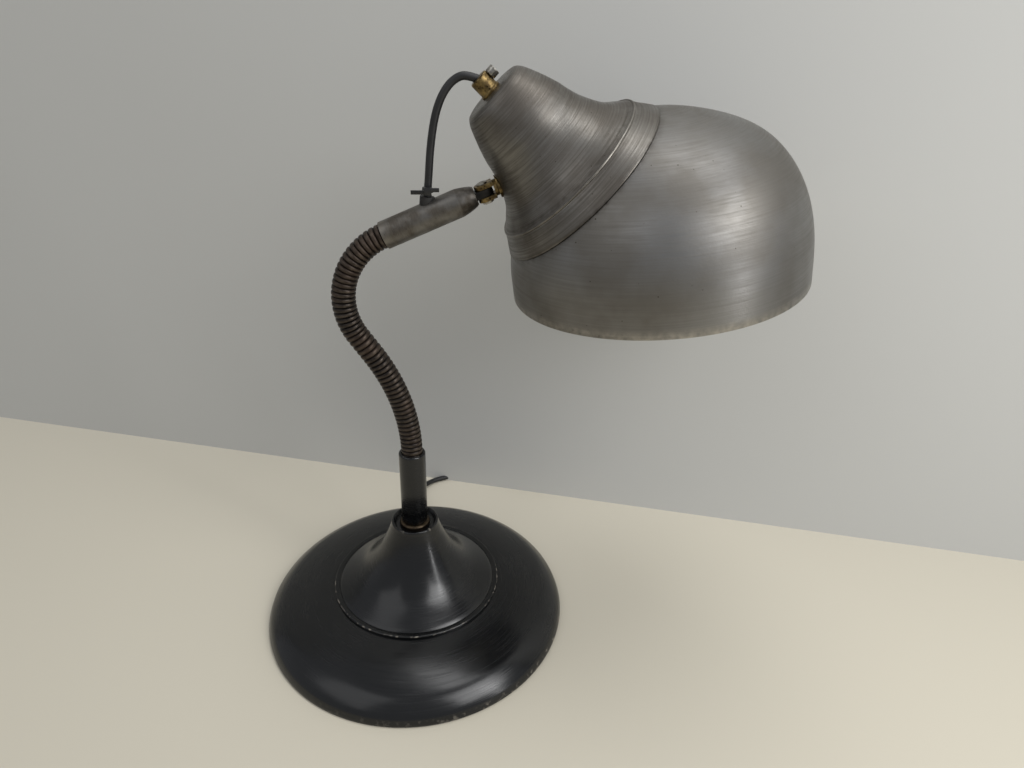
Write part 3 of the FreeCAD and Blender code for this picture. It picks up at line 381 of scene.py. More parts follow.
# Rolled aluminium of the lamp's cap: pale and fairly bright.
CAP_ALUMINIUM = Finish("rolled_cap_aluminium", "c4c4c2", "aeadab", 5.0, 1.0, (0.25, 0.35), grain_mm=0.5,
                       grain_bump=0.01)
# Opal glass: a milky white skin that lets a little light through.
OPAL = Finish("opal_lamp_glass", "f3f0e8", "ece8dd", 20.0, 0.0, (0.16, 0.24), 0.3, 0.05, grain_mm=8.0,
              grain_bump=0.005)
# Pressed wool felt: fuzzy dark green with no shine.
FELT = Finish("pressed_wool_felt", "20301f", "2a3a28", 5.0, 0.0, (0.9, 1.0), grain_mm=0.6, grain_bump=0.15,
              sheen=0.4)
# Plain rolled steel, zinc plated: dull silver grey.
ZINC_STEEL = Finish("zinc_plated_steel", "8d8b86", "767370", 6.0, 1.0, (0.36, 0.5), grain_mm=0.7,
                    grain_bump=0.02)
# Sand-cast iron: dark and coarse.
CAST_IRON = Finish("sand_cast_iron", "2e2c2a", "3b3733", 8.0, 0.6, (0.6, 0.75), grain_mm=1.4, grain_bump=0.2)
# ABS, moulded: black with a half gloss.
BLACK_ABS = Finish("moulded_black_abs", "101011", "171718", 9.0, 0.0, (0.28, 0.38), grain_mm=0.8,
                   grain_bump=0.012)
# Dark bronzed collar: brown black metal, rubbed on its round.
BRONZED = Finish("bronzed_collar", "1d1814", "2c241c", 5.0, 0.8, (0.3, 0.45), grain_mm=0.8, grain_bump=0.02,
                 worn_and_highlight="6d5c44", dirt_and_shade="0d0b09")


# ---------------------------------------------------------------- modelling
def activate(obj: bpy.types.Object) -> None:
    """Makes one object the only selected and active one."""
    bpy.ops.object.select_all(action="DESELECT")
    obj.select_set(True)
    bpy.context.view_layer.objects.active = obj


def modify(obj: bpy.types.Object, kind: str, **settings: object) -> None:
    """Adds a modifier and applies it.

    Args:
        obj: the piece.
        kind: the modifier's type.
        settings: the modifier's properties.
    """
    activate(obj)
    modifier = obj.modifiers.new(kind.lower(), kind)
    for key, value in settings.items():
        setattr(modifier, key, value)
    bpy.ops.object.modifier_apply(modifier=modifier.name)


def smooth(obj: bpy.types.Object, degrees: float = 35.0) -> None:
    """Shades faces smoothly, except over edges sharper than an angle."""
    activate(obj)
    bpy.ops.object.shade_smooth_by_angle(angle=math.radians(degrees))


def paint(obj: bpy.types.Object, name: str, values: list[float]) -> None:
    """Stores one number per vertex for a material to read."""
    layer = obj.data.attributes.new(name, "FLOAT", "POINT")
    layer.data.foreach_set("value", values)


def dress(obj: bpy.types.Object, finish: Finish) -> None:
    """Gives a piece its finish."""
    obj.data.materials.clear()
    obj.data.materials.append(finish.material())


def arc(centre: tuple[float, float], radius: float, start: float, end: float,
        steps: int) -> list[tuple[float, float]]:
    """Points of an arc in an outline.

    Args:
        centre: radius and height of the arc's middle.
        radius: the arc's radius.
        start: first angle in degrees, from outwards towards up.
        end: last angle.
        steps: how many pieces it is cut into.

    Returns:
        The points, ends included.
    """
    angles = [math.radians(start + (end - start) * i / steps) for i in range(steps + 1)]
    return [(centre[0] + radius * math.cos(a), centre[1] + radius * math.sin(a)) for a in angles]


def through(points: list[tuple[float, float]], steps: int) -> list[tuple[float, float]]:
    """A smooth line through points of an outline.

    Args:
        points: radius and height of each point.
        steps: how many pieces each stretch is cut into.

    Returns:
        The points of the smooth line, ends included.
    """
    line = []
    for i in range(len(points) - 1):
        before = points[max(i - 1, 0)]
        after = points[min(i + 2, len(points) - 1)]
        here, there = points[i], points[i + 1]
        for k in range(steps):
            t = k / steps
            weights = (-t + 2 * t * t - t ** 3, 2 - 5 * t * t + 3 * t ** 3, t + 4 * t * t - 3 * t ** 3, -t * t + t ** 3)
            line.append(tuple(0.5 * sum(w * p[n] for w, p in zip(weights, (before, here, there, after)))
                              for n in (0, 1)))
    return line + [points[-1]]


def turned(name: str, outline: list[tuple[float, float]], segments: int = 128,
           closed: bool = False) -> bpy.types.Object:
    """Turns an outline about Z: a ring is extruded and resized from each point to the next.

    Args:
        name: the piece's name.
        outline: radius and height of each point, in millimetres.
        segments: how many faces go round.
        closed: whether the last point joins the first.

    Returns:
        The new piece, at the origin.
    """
    bpy.ops.object.select_all(action="DESELECT")
    points = outline + [outline[0]] if closed else outline
    radius, height = points[0]
    bpy.ops.mesh.primitive_circle_add(vertices=segments, radius=radius * MM, location=(0.0, 0.0, height * MM))
    obj = bpy.context.object
    obj.name = name
    bpy.ops.object.transform_apply(location=True)
    bpy.ops.object.mode_set(mode="EDIT")
    bpy.ops.mesh.select_all(action="SELECT")
    for r, z in points[1:]:
        bpy.ops.mesh.extrude_region_move(TRANSFORM_OT_translate={"value": (0.0, 0.0, (z - height) * MM)})
        bpy.ops.transform.resize(value=(r / radius, r / radius, 1.0), center_override=(0.0, 0.0, z * MM))
        radius, height = r, z
    bpy.ops.mesh.select_all(action="SELECT")
    bpy.ops.mesh.remove_doubles(threshold=0.00001)
    bpy.ops.mesh.normals_make_consistent(inside=False)
    bpy.ops.object.mode_set(mode="OBJECT")
    return obj


def cap_ends(obj: bpy.types.Object) -> None:
    """Closes the open rings of a turned piece."""
    activate(obj)
    bpy.ops.object.mode_set(mode="EDIT")
    bpy.ops.mesh.select_all(action="DESELECT")
    bpy.ops.mesh.select_non_manifold(extend=False, use_wire=False, use_multi_face=False,
                                     use_non_contiguous=False, use_verts=False)
    bpy.ops.mesh.edge_face_add()
    bpy.ops.mesh.select_all(action="SELECT")
    bpy.ops.mesh.normals_make_consistent(inside=False)
    bpy.ops.object.mode_set(mode="OBJECT")


def stand(obj: bpy.types.Object, origin: Vector, axis: Vector) -> None:
    """Moves a piece made about Z to an origin, in millimetres, and along an axis, in its mesh."""
    side = Vector((0.0, 1.0, 0.0))
    first = side.cross(axis).normalized()
    turn = Matrix((first, side, axis)).transposed().to_4x4()
    obj.data.transform(Matrix.Translation(origin * MM) @ turn)


def refined(frame: dict, node: str, bevel_mm: float, degrees: float = 32.0) -> bpy.types.Object:
    """Copies a CAD node and rounds its edges as a file or a mould would.

    Args:
        node: the node's name.
        bevel_mm: radius of the broken edges.
        degrees: edges sharper than this are rounded.

    Returns:
        The new piece, which stands for the node.
    """
    source = frame["nodes"][node]
    obj = bpy.data.objects.new(node + "_worked", source.data.copy())
    bpy.context.scene.collection.objects.link(obj)
    activate(obj)
    bpy.ops.object.mode_set(mode="EDIT")
    bpy.ops.mesh.select_all(action="SELECT")
    bpy.ops.mesh.remove_doubles(threshold=0.00001)
    bpy.ops.mesh.dissolve_limited(angle_limit=math.radians(1.0))
    bpy.ops.object.mode_set(mode="OBJECT")
    obj.data.normals_split_custom_set([(0.0, 0.0, 0.0)] * len(obj.data.loops))
    modify(obj, "BEVEL", width=bevel_mm * MM, segments=2, limit_method="ANGLE", angle_limit=math.radians(degrees),
           harden_normals=False, use_clamp_overlap=True)
    smooth(obj, 40.0)
    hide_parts(node)
    return obj


# ---------------------------------------------------------------- base and stem
@dataclass
class BaseAssembly:
    """Pressed dish, spun cone, collar and stem, with what is hidden inside."""

    frame: dict
    rim_radius: float = 120.0
    rim_low: float = 0.6
    rim_top: float = 2.6
    edge: tuple[tuple[float, float], ...] = ((118.2, 6.9), (114.9, 10.6), (110.0, 14.5))
    shoulder: tuple[float, float] = (104.0, 17.6)
    slope: tuple[tuple[float, float], ...] = ((92.0, 21.5), (80.0, 24.5))
    dish_top: tuple[float, float] = (68.5, 26.6)
    nicks: tuple[float, float] = (-118.0, -50.0)   # where the cone's lip has lost its lacquer, in degrees
    nick_reach: float = 0.045                      # in radians
    wall: float = 1.6
    foot_radius: float = 66.5
    foot_top: float = 29.2
    step_radius: float = 62.0
    lip: tuple[float, float] = (17.5, 87.0)
    crater_floor: float = 83.4
    stem_radius: float = 10.0
    stem_top: float = 150.0
    collar_radius: float = 11.8

    def build(self) -> None:
        """Builds and dresses every piece of the base."""
        self._dish()
        self._cone()
        self._collar()
        self._stem()
        nodes = self.frame["nodes"]
        for node, finish in (("base_felt", FELT), ("base_plate", ZINC_STEEL), ("base_weight", CAST_IRON),
                             ("stem_nipple", ZINC_STEEL), ("stem_washer", ZINC_STEEL), ("stem_nut", ZINC_STEEL),
                             ("base_lead", FLEX)):
            nodes[node].data.materials.clear()
            nodes[node].data.materials.append(finish.material())
        LOG.info("base built")

    def _dish(self) -> None:
        """Pressed dish, one smooth round from the table edge to the nearly flat slope."""
        face = through([(self.rim_radius, self.rim_top), *self.edge, self.shoulder, *self.slope,
                        self.dish_top], 4)
        outline = ([(self.rim_radius - self.wall, self.rim_low), (self.rim_radius - 0.3, self.rim_low),
                    (self.rim_radius, self.rim_low + 0.3)] + face
                   + [(6.0, self.dish_top[1]), (6.0, self.dish_top[1] - self.wall),
                      (self.dish_top[0] - 1.0, self.dish_top[1] - self.wall),
                      (self.shoulder[0] - 1.0, self.shoulder[1] - self.wall)]
                   + [(radius - self.wall, height - self.wall) for radius, height in reversed(self.edge)]
                   + [(self.rim_radius - self.wall, self.rim_top)])
        dish = turned("dish", outline, 192, True)
        paint(dish, "wear_and_highlight", [self._rim_wear(v.co) for v in dish.data.vertices])
        smooth(dish, 30.0)
        dress(dish, LACQUER)
        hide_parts("base_dish")
        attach(dish, "base")

    def _rim_wear(self, point: Vector) -> float:
        """Rubbed lacquer low on the edge, most towards the front right."""
        if point.z / MM > self.rim_top + 3.0:
            return 0.0
        side = math.cos(math.atan2(point.y, point.x) - math.radians(-40.0))
        return 0.1 + 0.5 * max(0.0, side) ** 3

    def _cone(self) -> None:
        """Spun cone with a flat foot ring, a curved flank and a dished top."""
        flank = through([(self.step_radius, self.foot_top), (44.0, 41.0), (31.0, 56.6),
                         (22.6, 73.0), (self.lip[0] + 0.9, self.lip[1] - 2.2)], 5)
        outline = ([(self.foot_radius - 1.2, 26.6), (self.foot_radius, 26.7), (self.foot_radius, 28.3)]
                   + arc((self.foot_radius - 0.9, 28.3), 0.9, 15.0, 90.0, 4)
                   + [(self.step_radius + 0.9, self.foot_top), (self.step_radius + 0.3, self.foot_top - 0.35)]
                   + flank
                   + arc((self.lip[0] - 0.2, self.lip[1] - 1.0), 1.0, 25.0, 150.0, 6)
                   + [(15.6, self.crater_floor + 0.9), (14.6, self.crater_floor), (6.0, self.crater_floor),
                      (6.0, self.crater_floor - 1.2), (14.0, self.crater_floor - 1.2), (16.6, 80.0), (22.0, 70.0),
                      (31.4, 53.6), (44.0, 38.6), (self.step_radius - 0.8, 28.0), (self.foot_radius - 1.2, 28.0)])
        cone = turned("cone", outline, 160, True)
        wear_and_highlight = []
        for v in cone.data.vertices:
            radius, height = math.hypot(v.co.x, v.co.y) / MM, v.co.z / MM
            at_foot = radius > self.foot_radius - 0.75 and height > 28.5
            at_lip = abs(radius - self.lip[0]) < 0.9 and height > self.lip[1] - 0.7
            turn = math.atan2(v.co.y, v.co.x)
            nicked = min(abs(math.remainder(turn - math.radians(a), math.tau)) for a in self.nicks) < self.nick_reach
            wear_and_highlight.append(0.8 if at_foot else (1.0 if nicked else 0.08) if at_lip else 0.0)
        paint(cone, "wear_and_highlight", wear_and_highlight)
        paint(cone, "dirt_and_shade", [1.0 if self.step_radius - 0.2 < math.hypot(v.co.x, v.co.y) / MM < self.step_radius + 0.8
                             and v.co.z / MM > 28.6 else 0.0 for v in cone.data.vertices])
        smooth(cone, 32.0)
        dress(cone, LACQUER)
        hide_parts("cone_cover")
        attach(cone, "base")

    def _collar(self) -> None:
        """Dark rounded collar in the cone's dished top."""
        floor = self.crater_floor
        outline = ([(5.3, floor), (self.collar_radius, floor), (self.collar_radius, floor + 1.4)]
                   + arc((self.collar_radius - 2.4, floor + 1.5), 2.4, 8.0, 80.0, 6)
                   + [(5.3, floor + 4.2)])
        collar = turned("stem_foot_collar", outline, 96, True)
        paint(collar, "wear_and_highlight", [0.6 if v.co.z > (floor + 2.6) * MM else 0.0 for v in collar.data.vertices])
        smooth(collar, 40.0)
        dress(collar, BRONZED)
        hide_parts("stem_collar")
        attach(collar, "base")

    def _stem(self) -> None:
        """Plain lacquered tube with a rounded mouth that holds the hose."""
        top = self.stem_top
        outline = ([(5.3, self.crater_floor + 4.4), (self.stem_radius - 0.3, self.crater_floor + 4.4),
                    (self.stem_radius, self.crater_floor + 4.8), (self.stem_radius, top - 30.0),
                    (self.stem_radius, top - 2.2)]
                   + arc((self.stem_radius - 1.7, top - 1.7), 1.7, 10.0, 85.0, 6)
                   + [(8.15, top - 0.1), (8.15, top - 4.0), (5.3, top - 12.0)])
        stem = turned("stem", outline, 96, True)
        paint(stem, "wear_and_highlight", [0.5 if v.co.z > (top - 1.2) * MM else 0.0 for v in stem.data.vertices])
        smooth(stem, 40.0)
        dress(stem, LACQUER)
        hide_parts("stem_tube")
        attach(stem, "base")


# ---------------------------------------------------------------- hose and arm
@dataclass
class FlexibleHose:
    """Hose wound from profiled wire, in stretches split at the middle of each link."""

    radius: float = 8.0
    groove: float = 7.25
    bore: float = 3.4
    segments: int = 64
    ribs_low: int = 8                 # ribs on each link of the lower bend
    ribs_middle: int = 4
    ribs_top: int = 8

    def _ribs(self) -> list[float]:
        """Where each rib starts along the hose, ends included, with the links' middles falling in grooves."""
        low = math.radians(LAYOUT.low_degrees) * LAYOUT.low_radius / 3
        turn = 90.0 + LAYOUT.low_degrees - LAYOUT.arm_degrees
        top = math.radians(turn) * LAYOUT.top_radius / 3
        starts, at = [], 0.0
        for length, ribs in ([(low, self.ribs_low)] * 3 + [(LAYOUT.middle_run, self.ribs_middle)]
                             + [(top, self.ribs_top)] * 3):
            starts += [at + length * i / ribs for i in range(ribs)]
            at += length
        return starts + [at]

    def build(self) -> None:
        """Builds the eight stretches, and joins the first to the base and the last to the arm."""
        ribs = self._ribs()
        middles = [ribs[i] for i in (4, 12, 20, 26, 32, 40, 48)]
        ends = [-8.0] + middles + [LAYOUT.hose_length + 6.0]
        for index, (start, end) in enumerate(zip(ends, ends[1:])):
            own = [s for s in ribs if start - 0.01 <= s <= end + 0.01]
            if index == 0:
                own = [start, start + 4.0] + own
            if index == len(ends) - 2:
                own = own + [end]
            piece = self._stretch("hose_stretch_%d" % (index + 1), own)
            if index == 0:
                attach(piece, "base")
            elif index == len(ends) - 2:
                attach(piece, "arm")
            else:
                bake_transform(piece)
            if index < 7:
                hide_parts("hose_%d" % (index + 1))
        LOG.info("hose built in %d stretches", len(ends) - 1)

    def _stretch(self, name: str, starts: list[float]) -> bpy.types.Object:
        """One stretch of hose, turned straight and then laid along the middle line.

        Args:
            name: the piece's name.
            starts: where each rib starts, with the stretch's end last.

        Returns:
            The piece in place.
        """
        profile = ((0.0, self.groove - 0.35), (0.06, self.groove), (0.2, self.radius - 0.22), (0.36, self.radius),
                   (0.64, self.radius), (0.8, self.radius - 0.22), (0.94, self.groove))
        outline = []
        for here, there in zip(starts, starts[1:]):
            outline += [(r, here + share * (there - here)) for share, r in profile]
        outline.append((self.groove - 0.35, starts[-1]))
        outline += [(self.bore, starts[-1]), (self.bore, starts[0])]
        piece = turned(name, outline, self.segments, True)
        # Crowns get rubbed wear; grooves get painted shade, darker inward from just under the crown.
        crowns, grooves = [], []
        for v in piece.data.vertices:
            r = math.hypot(v.co.x, v.co.y) / MM
            crowns.append(max(0.0, min(1.0, (r - self.radius + 0.3) / 0.3)))
            grooves.append(max(0.0, min(1.0, (self.radius - 0.3 - r) / 0.4)))
        paint(piece, "wear_and_highlight", crowns)
        paint(piece, "dirt_and_shade", grooves)
        for v in piece.data.vertices:
            point, heading = LAYOUT.hose(v.co.z / MM)
            inward = Layout.heading(heading - 90.0)
            v.co = point * MM + inward * v.co.x + Vector((0.0, v.co.y, 0.0))
        smooth(piece, 60.0)
        dress(piece, HOSE_LACQUER)
        return piece


@dataclass
class ArmAssembly:
    """Sleeve, bush, tie and tongue on the hose's end."""

    frame: dict
    length: float = 63.8
    radius: float = 9.0
    tip: float = 6.0
    taper: float = 11.5

    def build(self) -> None:
        """Builds and dresses the arm."""
        outline = ([(8.15, 0.0), (self.radius - 0.5, 0.0)] + arc((self.radius - 0.5, 0.5), 0.5, -60.0, 0.0, 3)
                   + [(self.radius, 8.0), (self.radius, 30.0), (self.radius, self.length - self.taper - 0.5)]
                   + through([(self.radius, self.length - self.taper), (self.radius - 0.8, self.length - 7.0),
                              (self.tip + 0.9, self.length - 2.2), (self.tip, self.length - 0.4)], 3)
                   + [(self.tip - 0.2, self.length), (5.5, self.length), (5.4, self.length - 10.0), (5.4, 12.0),
                      (8.15, 12.0)])
        sleeve = turned("sleeve", outline, 96, True)
        wear_and_highlight, dirt_and_shade = [], []
        for v in sleeve.data.vertices:
            z, r = v.co.z / MM, math.hypot(v.co.x, v.co.y) / MM
            wear_and_highlight.append(0.7 if z < 0.9 and r > 8.4 else 0.3 if z > self.length - 1.0 and r > 5.8 else 0.0)
            dirt_and_shade.append(1.0 if self.length - self.taper < z < self.length - 1.0 else 0.0)
        paint(sleeve, "wear_and_highlight", wear_and_highlight)
        paint(sleeve, "dirt_and_shade", dirt_and_shade)
        smooth(sleeve, 40.0)
        stand(sleeve, LAYOUT.arm_start, LAYOUT.arm_axis)
        dress(sleeve, GUNMETAL)
        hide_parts("arm_sleeve")
        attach(sleeve, "arm")
        for node, finish, slot, bevel in (("lead_grommet", RUBBER, "black_rubber", 0.35),
                                          ("cable_tie", NYLON, "black_nylon", 0.2),
                                          ("arm_tongue", BLACK_STEEL, "dark_steel", 0.4)):
            piece = refined(self.frame, node, bevel)
            dress(piece, finish)
            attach(piece, "arm")
        self.frame["nodes"]["arm_lead"].data.materials.clear()
        self.frame["nodes"]["arm_lead"].data.materials.append(FLEX.material())
        for i in range(1, 8):
            node = self.frame["nodes"]["hose_lead_%d" % i]
            node.data.materials.clear()
            node.data.materials.append(FLEX.material())
        LOG.info("arm built")


@dataclass
class Knuckle:
    """Brass yoke with its screw and nuts."""

    frame: dict

    def build(self) -> None:
        """Rounds and dresses the yoke's pieces."""
        for node, finish, slot, bevel in (("knuckle_yoke", AGED_BRASS, "aged_brass", 0.35),
                                          ("pivot_screw", NICKEL, "nickelled_steel", 0.15),
                                          ("pivot_nut", NICKEL, "nickelled_steel", 0.2),
                                          ("shank_nut", ZINC_STEEL, "plain_steel", 0.3)):
            piece = refined(self.frame, node, bevel)
            dress(piece, finish)
            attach(piece, "knuckle")
        LOG.info("knuckle built")


# ---------------------------------------------------------------- shade
@dataclass
class ShadeAssembly:
    """Spun dome and neck, the cord grip, and the lampholder with its lamp."""

    frame: dict
    dome_radius: float = 98.3
    fullness: float = 2.33            # 2 is a true sphere, more is squarer
    swell_from: float = 45.0          # degrees from the neck's axis where the swelling starts
    swell_over: float = 40.0
    skirt: float = 12.6
    wall: float = 1.0
    seam_at: float = 76.4
    seam_foot: float = 63.2
    neck_end: float = 153.6

    def build(self) -> None:
        """Builds and dresses the shade."""
        self._dome()
        self._neck()
        self._grip()
        self._lamp()
        LOG.info("shade built")

    def _dome(self) -> None:
        """Dome and skirt turned about the mouth's axis, cut off at the seam and given its wall."""
        radius = self.dome_radius
        outline = [(radius, -self.skirt), (radius, -self.skirt * 0.5)]
        outline += arc((0.0, 0.0), radius, 0.0, 89.99, 56)
        dome = turned("dome", outline, 224)
        activate(dome)
        bpy.ops.object.mode_set(mode="EDIT")
        bpy.ops.mesh.select_all(action="SELECT")
        bpy.ops.mesh.normals_make_consistent(inside=False)
        bpy.ops.object.mode_set(mode="OBJECT")
        stand(dome, LAYOUT.dome, -LAYOUT.mouth_axis)
        for v in dome.data.vertices:
            v.co = self._fuller(v.co / MM) * MM
        activate(dome)
        bpy.ops.object.mode_set(mode="EDIT")
        bpy.ops.mesh.select_all(action="SELECT")
        seam = (LAYOUT.dome + LAYOUT.neck_axis * (self.seam_at + 0.4)) * MM
        bpy.ops.mesh.bisect(plane_co=seam, plane_no=LAYOUT.neck_axis, clear_outer=True)
        bpy.ops.object.mode_set(mode="OBJECT")
        modify(dome, "SOLIDIFY", thickness=self.wall * MM, offset=-1.0)
        modify(dome, "BEVEL", width=0.25 * MM, segments=2, limit_method="ANGLE",
               angle_limit=math.radians(50.0))
        # Painted shade in a band beside the seam; rubbed wear on the mouth's edge.
        paint(dome, "dirt_and_shade", [self._dome_seam_shade(v.co / MM) for v in dome.data.vertices])
        paint(dome, "wear_and_highlight", [self._dome_wear(v.co / MM) for v in dome.data.vertices])
        smooth(dome, 35.0)
        dress(dome, DOME_STEEL)
        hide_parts("shade_dome")
        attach(dome, "head")

    def _fuller(self, point: Vector) -> Vector:
        """Swells the dome's shoulder, away from the neck, to its hand-spun, slightly square curve.

        Args:
            point: A point of the true sphere, in millimetres.

        Returns:
            The point on the swollen dome.
        """
        ray = point - LAYOUT.dome
        height = -ray.dot(LAYOUT.mouth_axis)
        if height <= 0.0:
            return point
        rise = math.asin(min(1.0, height / ray.length))
        total = math.cos(rise) ** self.fullness + math.sin(rise) ** self.fullness
        square = total ** (-1.0 / self.fullness)
        away = min(1.0, max(0.0, (math.degrees(ray.angle(LAYOUT.neck_axis)) - self.swell_from) / self.swell_over))
        share = away * away * (3.0 - 2.0 * away)
        return LAYOUT.dome + ray * (1.0 + (square - 1.0) * share)

    def _dome_seam_shade(self, point: Vector) -> float:
        """Painted shade beside the seam where the neck laps over the dome, in millimetres."""
        along = (point - LAYOUT.dome).dot(LAYOUT.neck_axis)
        return max(0.0, 1.0 - abs(along - self.seam_at) / 3.0)

    def _dome_wear(self, point: Vector) -> float:
        """Rubbed bright edge at the mouth."""
        depth = (point - LAYOUT.dome).dot(LAYOUT.mouth_axis)
        return 0.8 if depth > self.skirt - 0.6 else 0.0

    def _neck(self) -> None:
        """Neck turned about its own axis: foot over the dome, bead ring, waist, nose and flat end."""
        outline = ([(self.seam_foot - 0.4, self.seam_at - 0.5), (self.seam_foot, self.seam_at)]
                   + through([(self.seam_foot - 0.1, self.seam_at + 0.5), (60.2, 81.0), (57.2, 85.0)], 3)[:-1]
                   + [(55.6, 87.7)] + arc((54.4, 89.0), 0.9, -50.0, 120.0, 8)
                   + through([(52.4, 91.0), (48.7, 94.4), (42.6, 100.4), (37.9, 108.6), (34.7, 115.8), (32.6, 122.6),
                              (31.2, 128.4), (28.8, 135.6), (25.6, 143.6), (22.8, 149.6), (20.6, 152.4)], 4)
                   + [(19.4, 153.2), (17.6, self.neck_end), (6.0, self.neck_end)])
        neck = turned("neck", outline, 160)
        activate(neck)
        bpy.ops.object.mode_set(mode="EDIT")
        bpy.ops.mesh.select_all(action="SELECT")
        bpy.ops.mesh.normals_make_consistent(inside=False)
        bpy.ops.object.mode_set(mode="OBJECT")
        modify(neck, "SOLIDIFY", thickness=self.wall * MM, offset=-1.0)
        # Painted shade in the creases either side of the bead ring and at the seam; a painted highlight on the bead
        # ring's crown.
        dirt_and_shade, wear_and_highlight = [], []
        for v in neck.data.vertices:
            height, radius = v.co.z / MM, math.hypot(v.co.x, v.co.y) / MM
            beside = min(abs(height - 86.9), abs(height - 91.2), abs(height - self.seam_at))
            dirt_and_shade.append(max(0.0, 1.0 - beside / 1.8))
            wear_and_highlight.append(0.3 if radius > 54.7 and 88.2 < height < 90.0 else 0.0)
        paint(neck, "dirt_and_shade", dirt_and_shade)
        paint(neck, "wear_and_highlight", wear_and_highlight)
        smooth(neck, 40.0)
        stand(neck, LAYOUT.dome, LAYOUT.neck_axis)
        dress(neck, NECK_STEEL)
        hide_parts("shade_neck")
        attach(neck, "head")

    def _grip(self) -> None:
        """Brass cord grip with a steel clamp screw, and the curved washers of the knuckle."""
        for node, finish, slot, bevel in (("grip_body", AGED_BRASS, "aged_brass", 0.3),
                                          ("grip_screw", NICKEL, "nickelled_steel", 0.4),
                                          ("outer_saddle", AGED_BRASS, "aged_brass", 0.25),
                                          ("grip_nipple", AGED_BRASS, "aged_brass", 0.2),
                                          ("inner_saddle", ZINC_STEEL, "plain_steel", 0.2)):
            piece = refined(self.frame, node, bevel)
            dress(piece, finish)
            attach(piece, "head")

    def _lamp(self) -> None:
        """Lampholder and lamp, seen from below."""
        top = self.neck_end - self.wall - 0.05
        lamp_top = top - 16.0
        cap_low = lamp_top - 24.0
        centre = lamp_top - 104.0 + 30.0
        shell = through([(12.6, cap_low), (13.4, cap_low - 4.0), (19.2, cap_low - 14.0), (26.3, centre + 14.4)], 4)
        outline = shell + arc((0.0, centre), 30.0, 24.0, -88.5, 26)
        glass = turned("glass_bulb", outline, 96)
        cap_ends(glass)
        modify(glass, "SOLIDIFY", thickness=0.9 * MM, offset=-1.0)
        smooth(glass, 60.0)
        stand(glass, LAYOUT.dome, LAYOUT.neck_axis)
        dress(glass, OPAL)
        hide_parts("lamp_glass")
        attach(glass, "head")
        for node, finish, slot, bevel in (("holder_cap", PHENOLIC, "bakelite", 0.5),
                                          ("holder_shell", PHENOLIC, "bakelite", 0.6),
                                          ("holder_core", PORCELAIN, "porcelain", 0.3),
                                          ("lamp_cap", CAP_ALUMINIUM, "lamp_cap_metal", 0.3)):
            piece = refined(self.frame, node, bevel)
            dress(piece, finish)
            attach(piece, "head")
        for node, finish in (("holder_insert", AGED_BRASS), ("centre_contact", COPPER), ("head_lead", FLEX)):
            self.frame["nodes"][node].data.materials.clear()
            self.frame["nodes"][node].data.materials.append(finish.material())


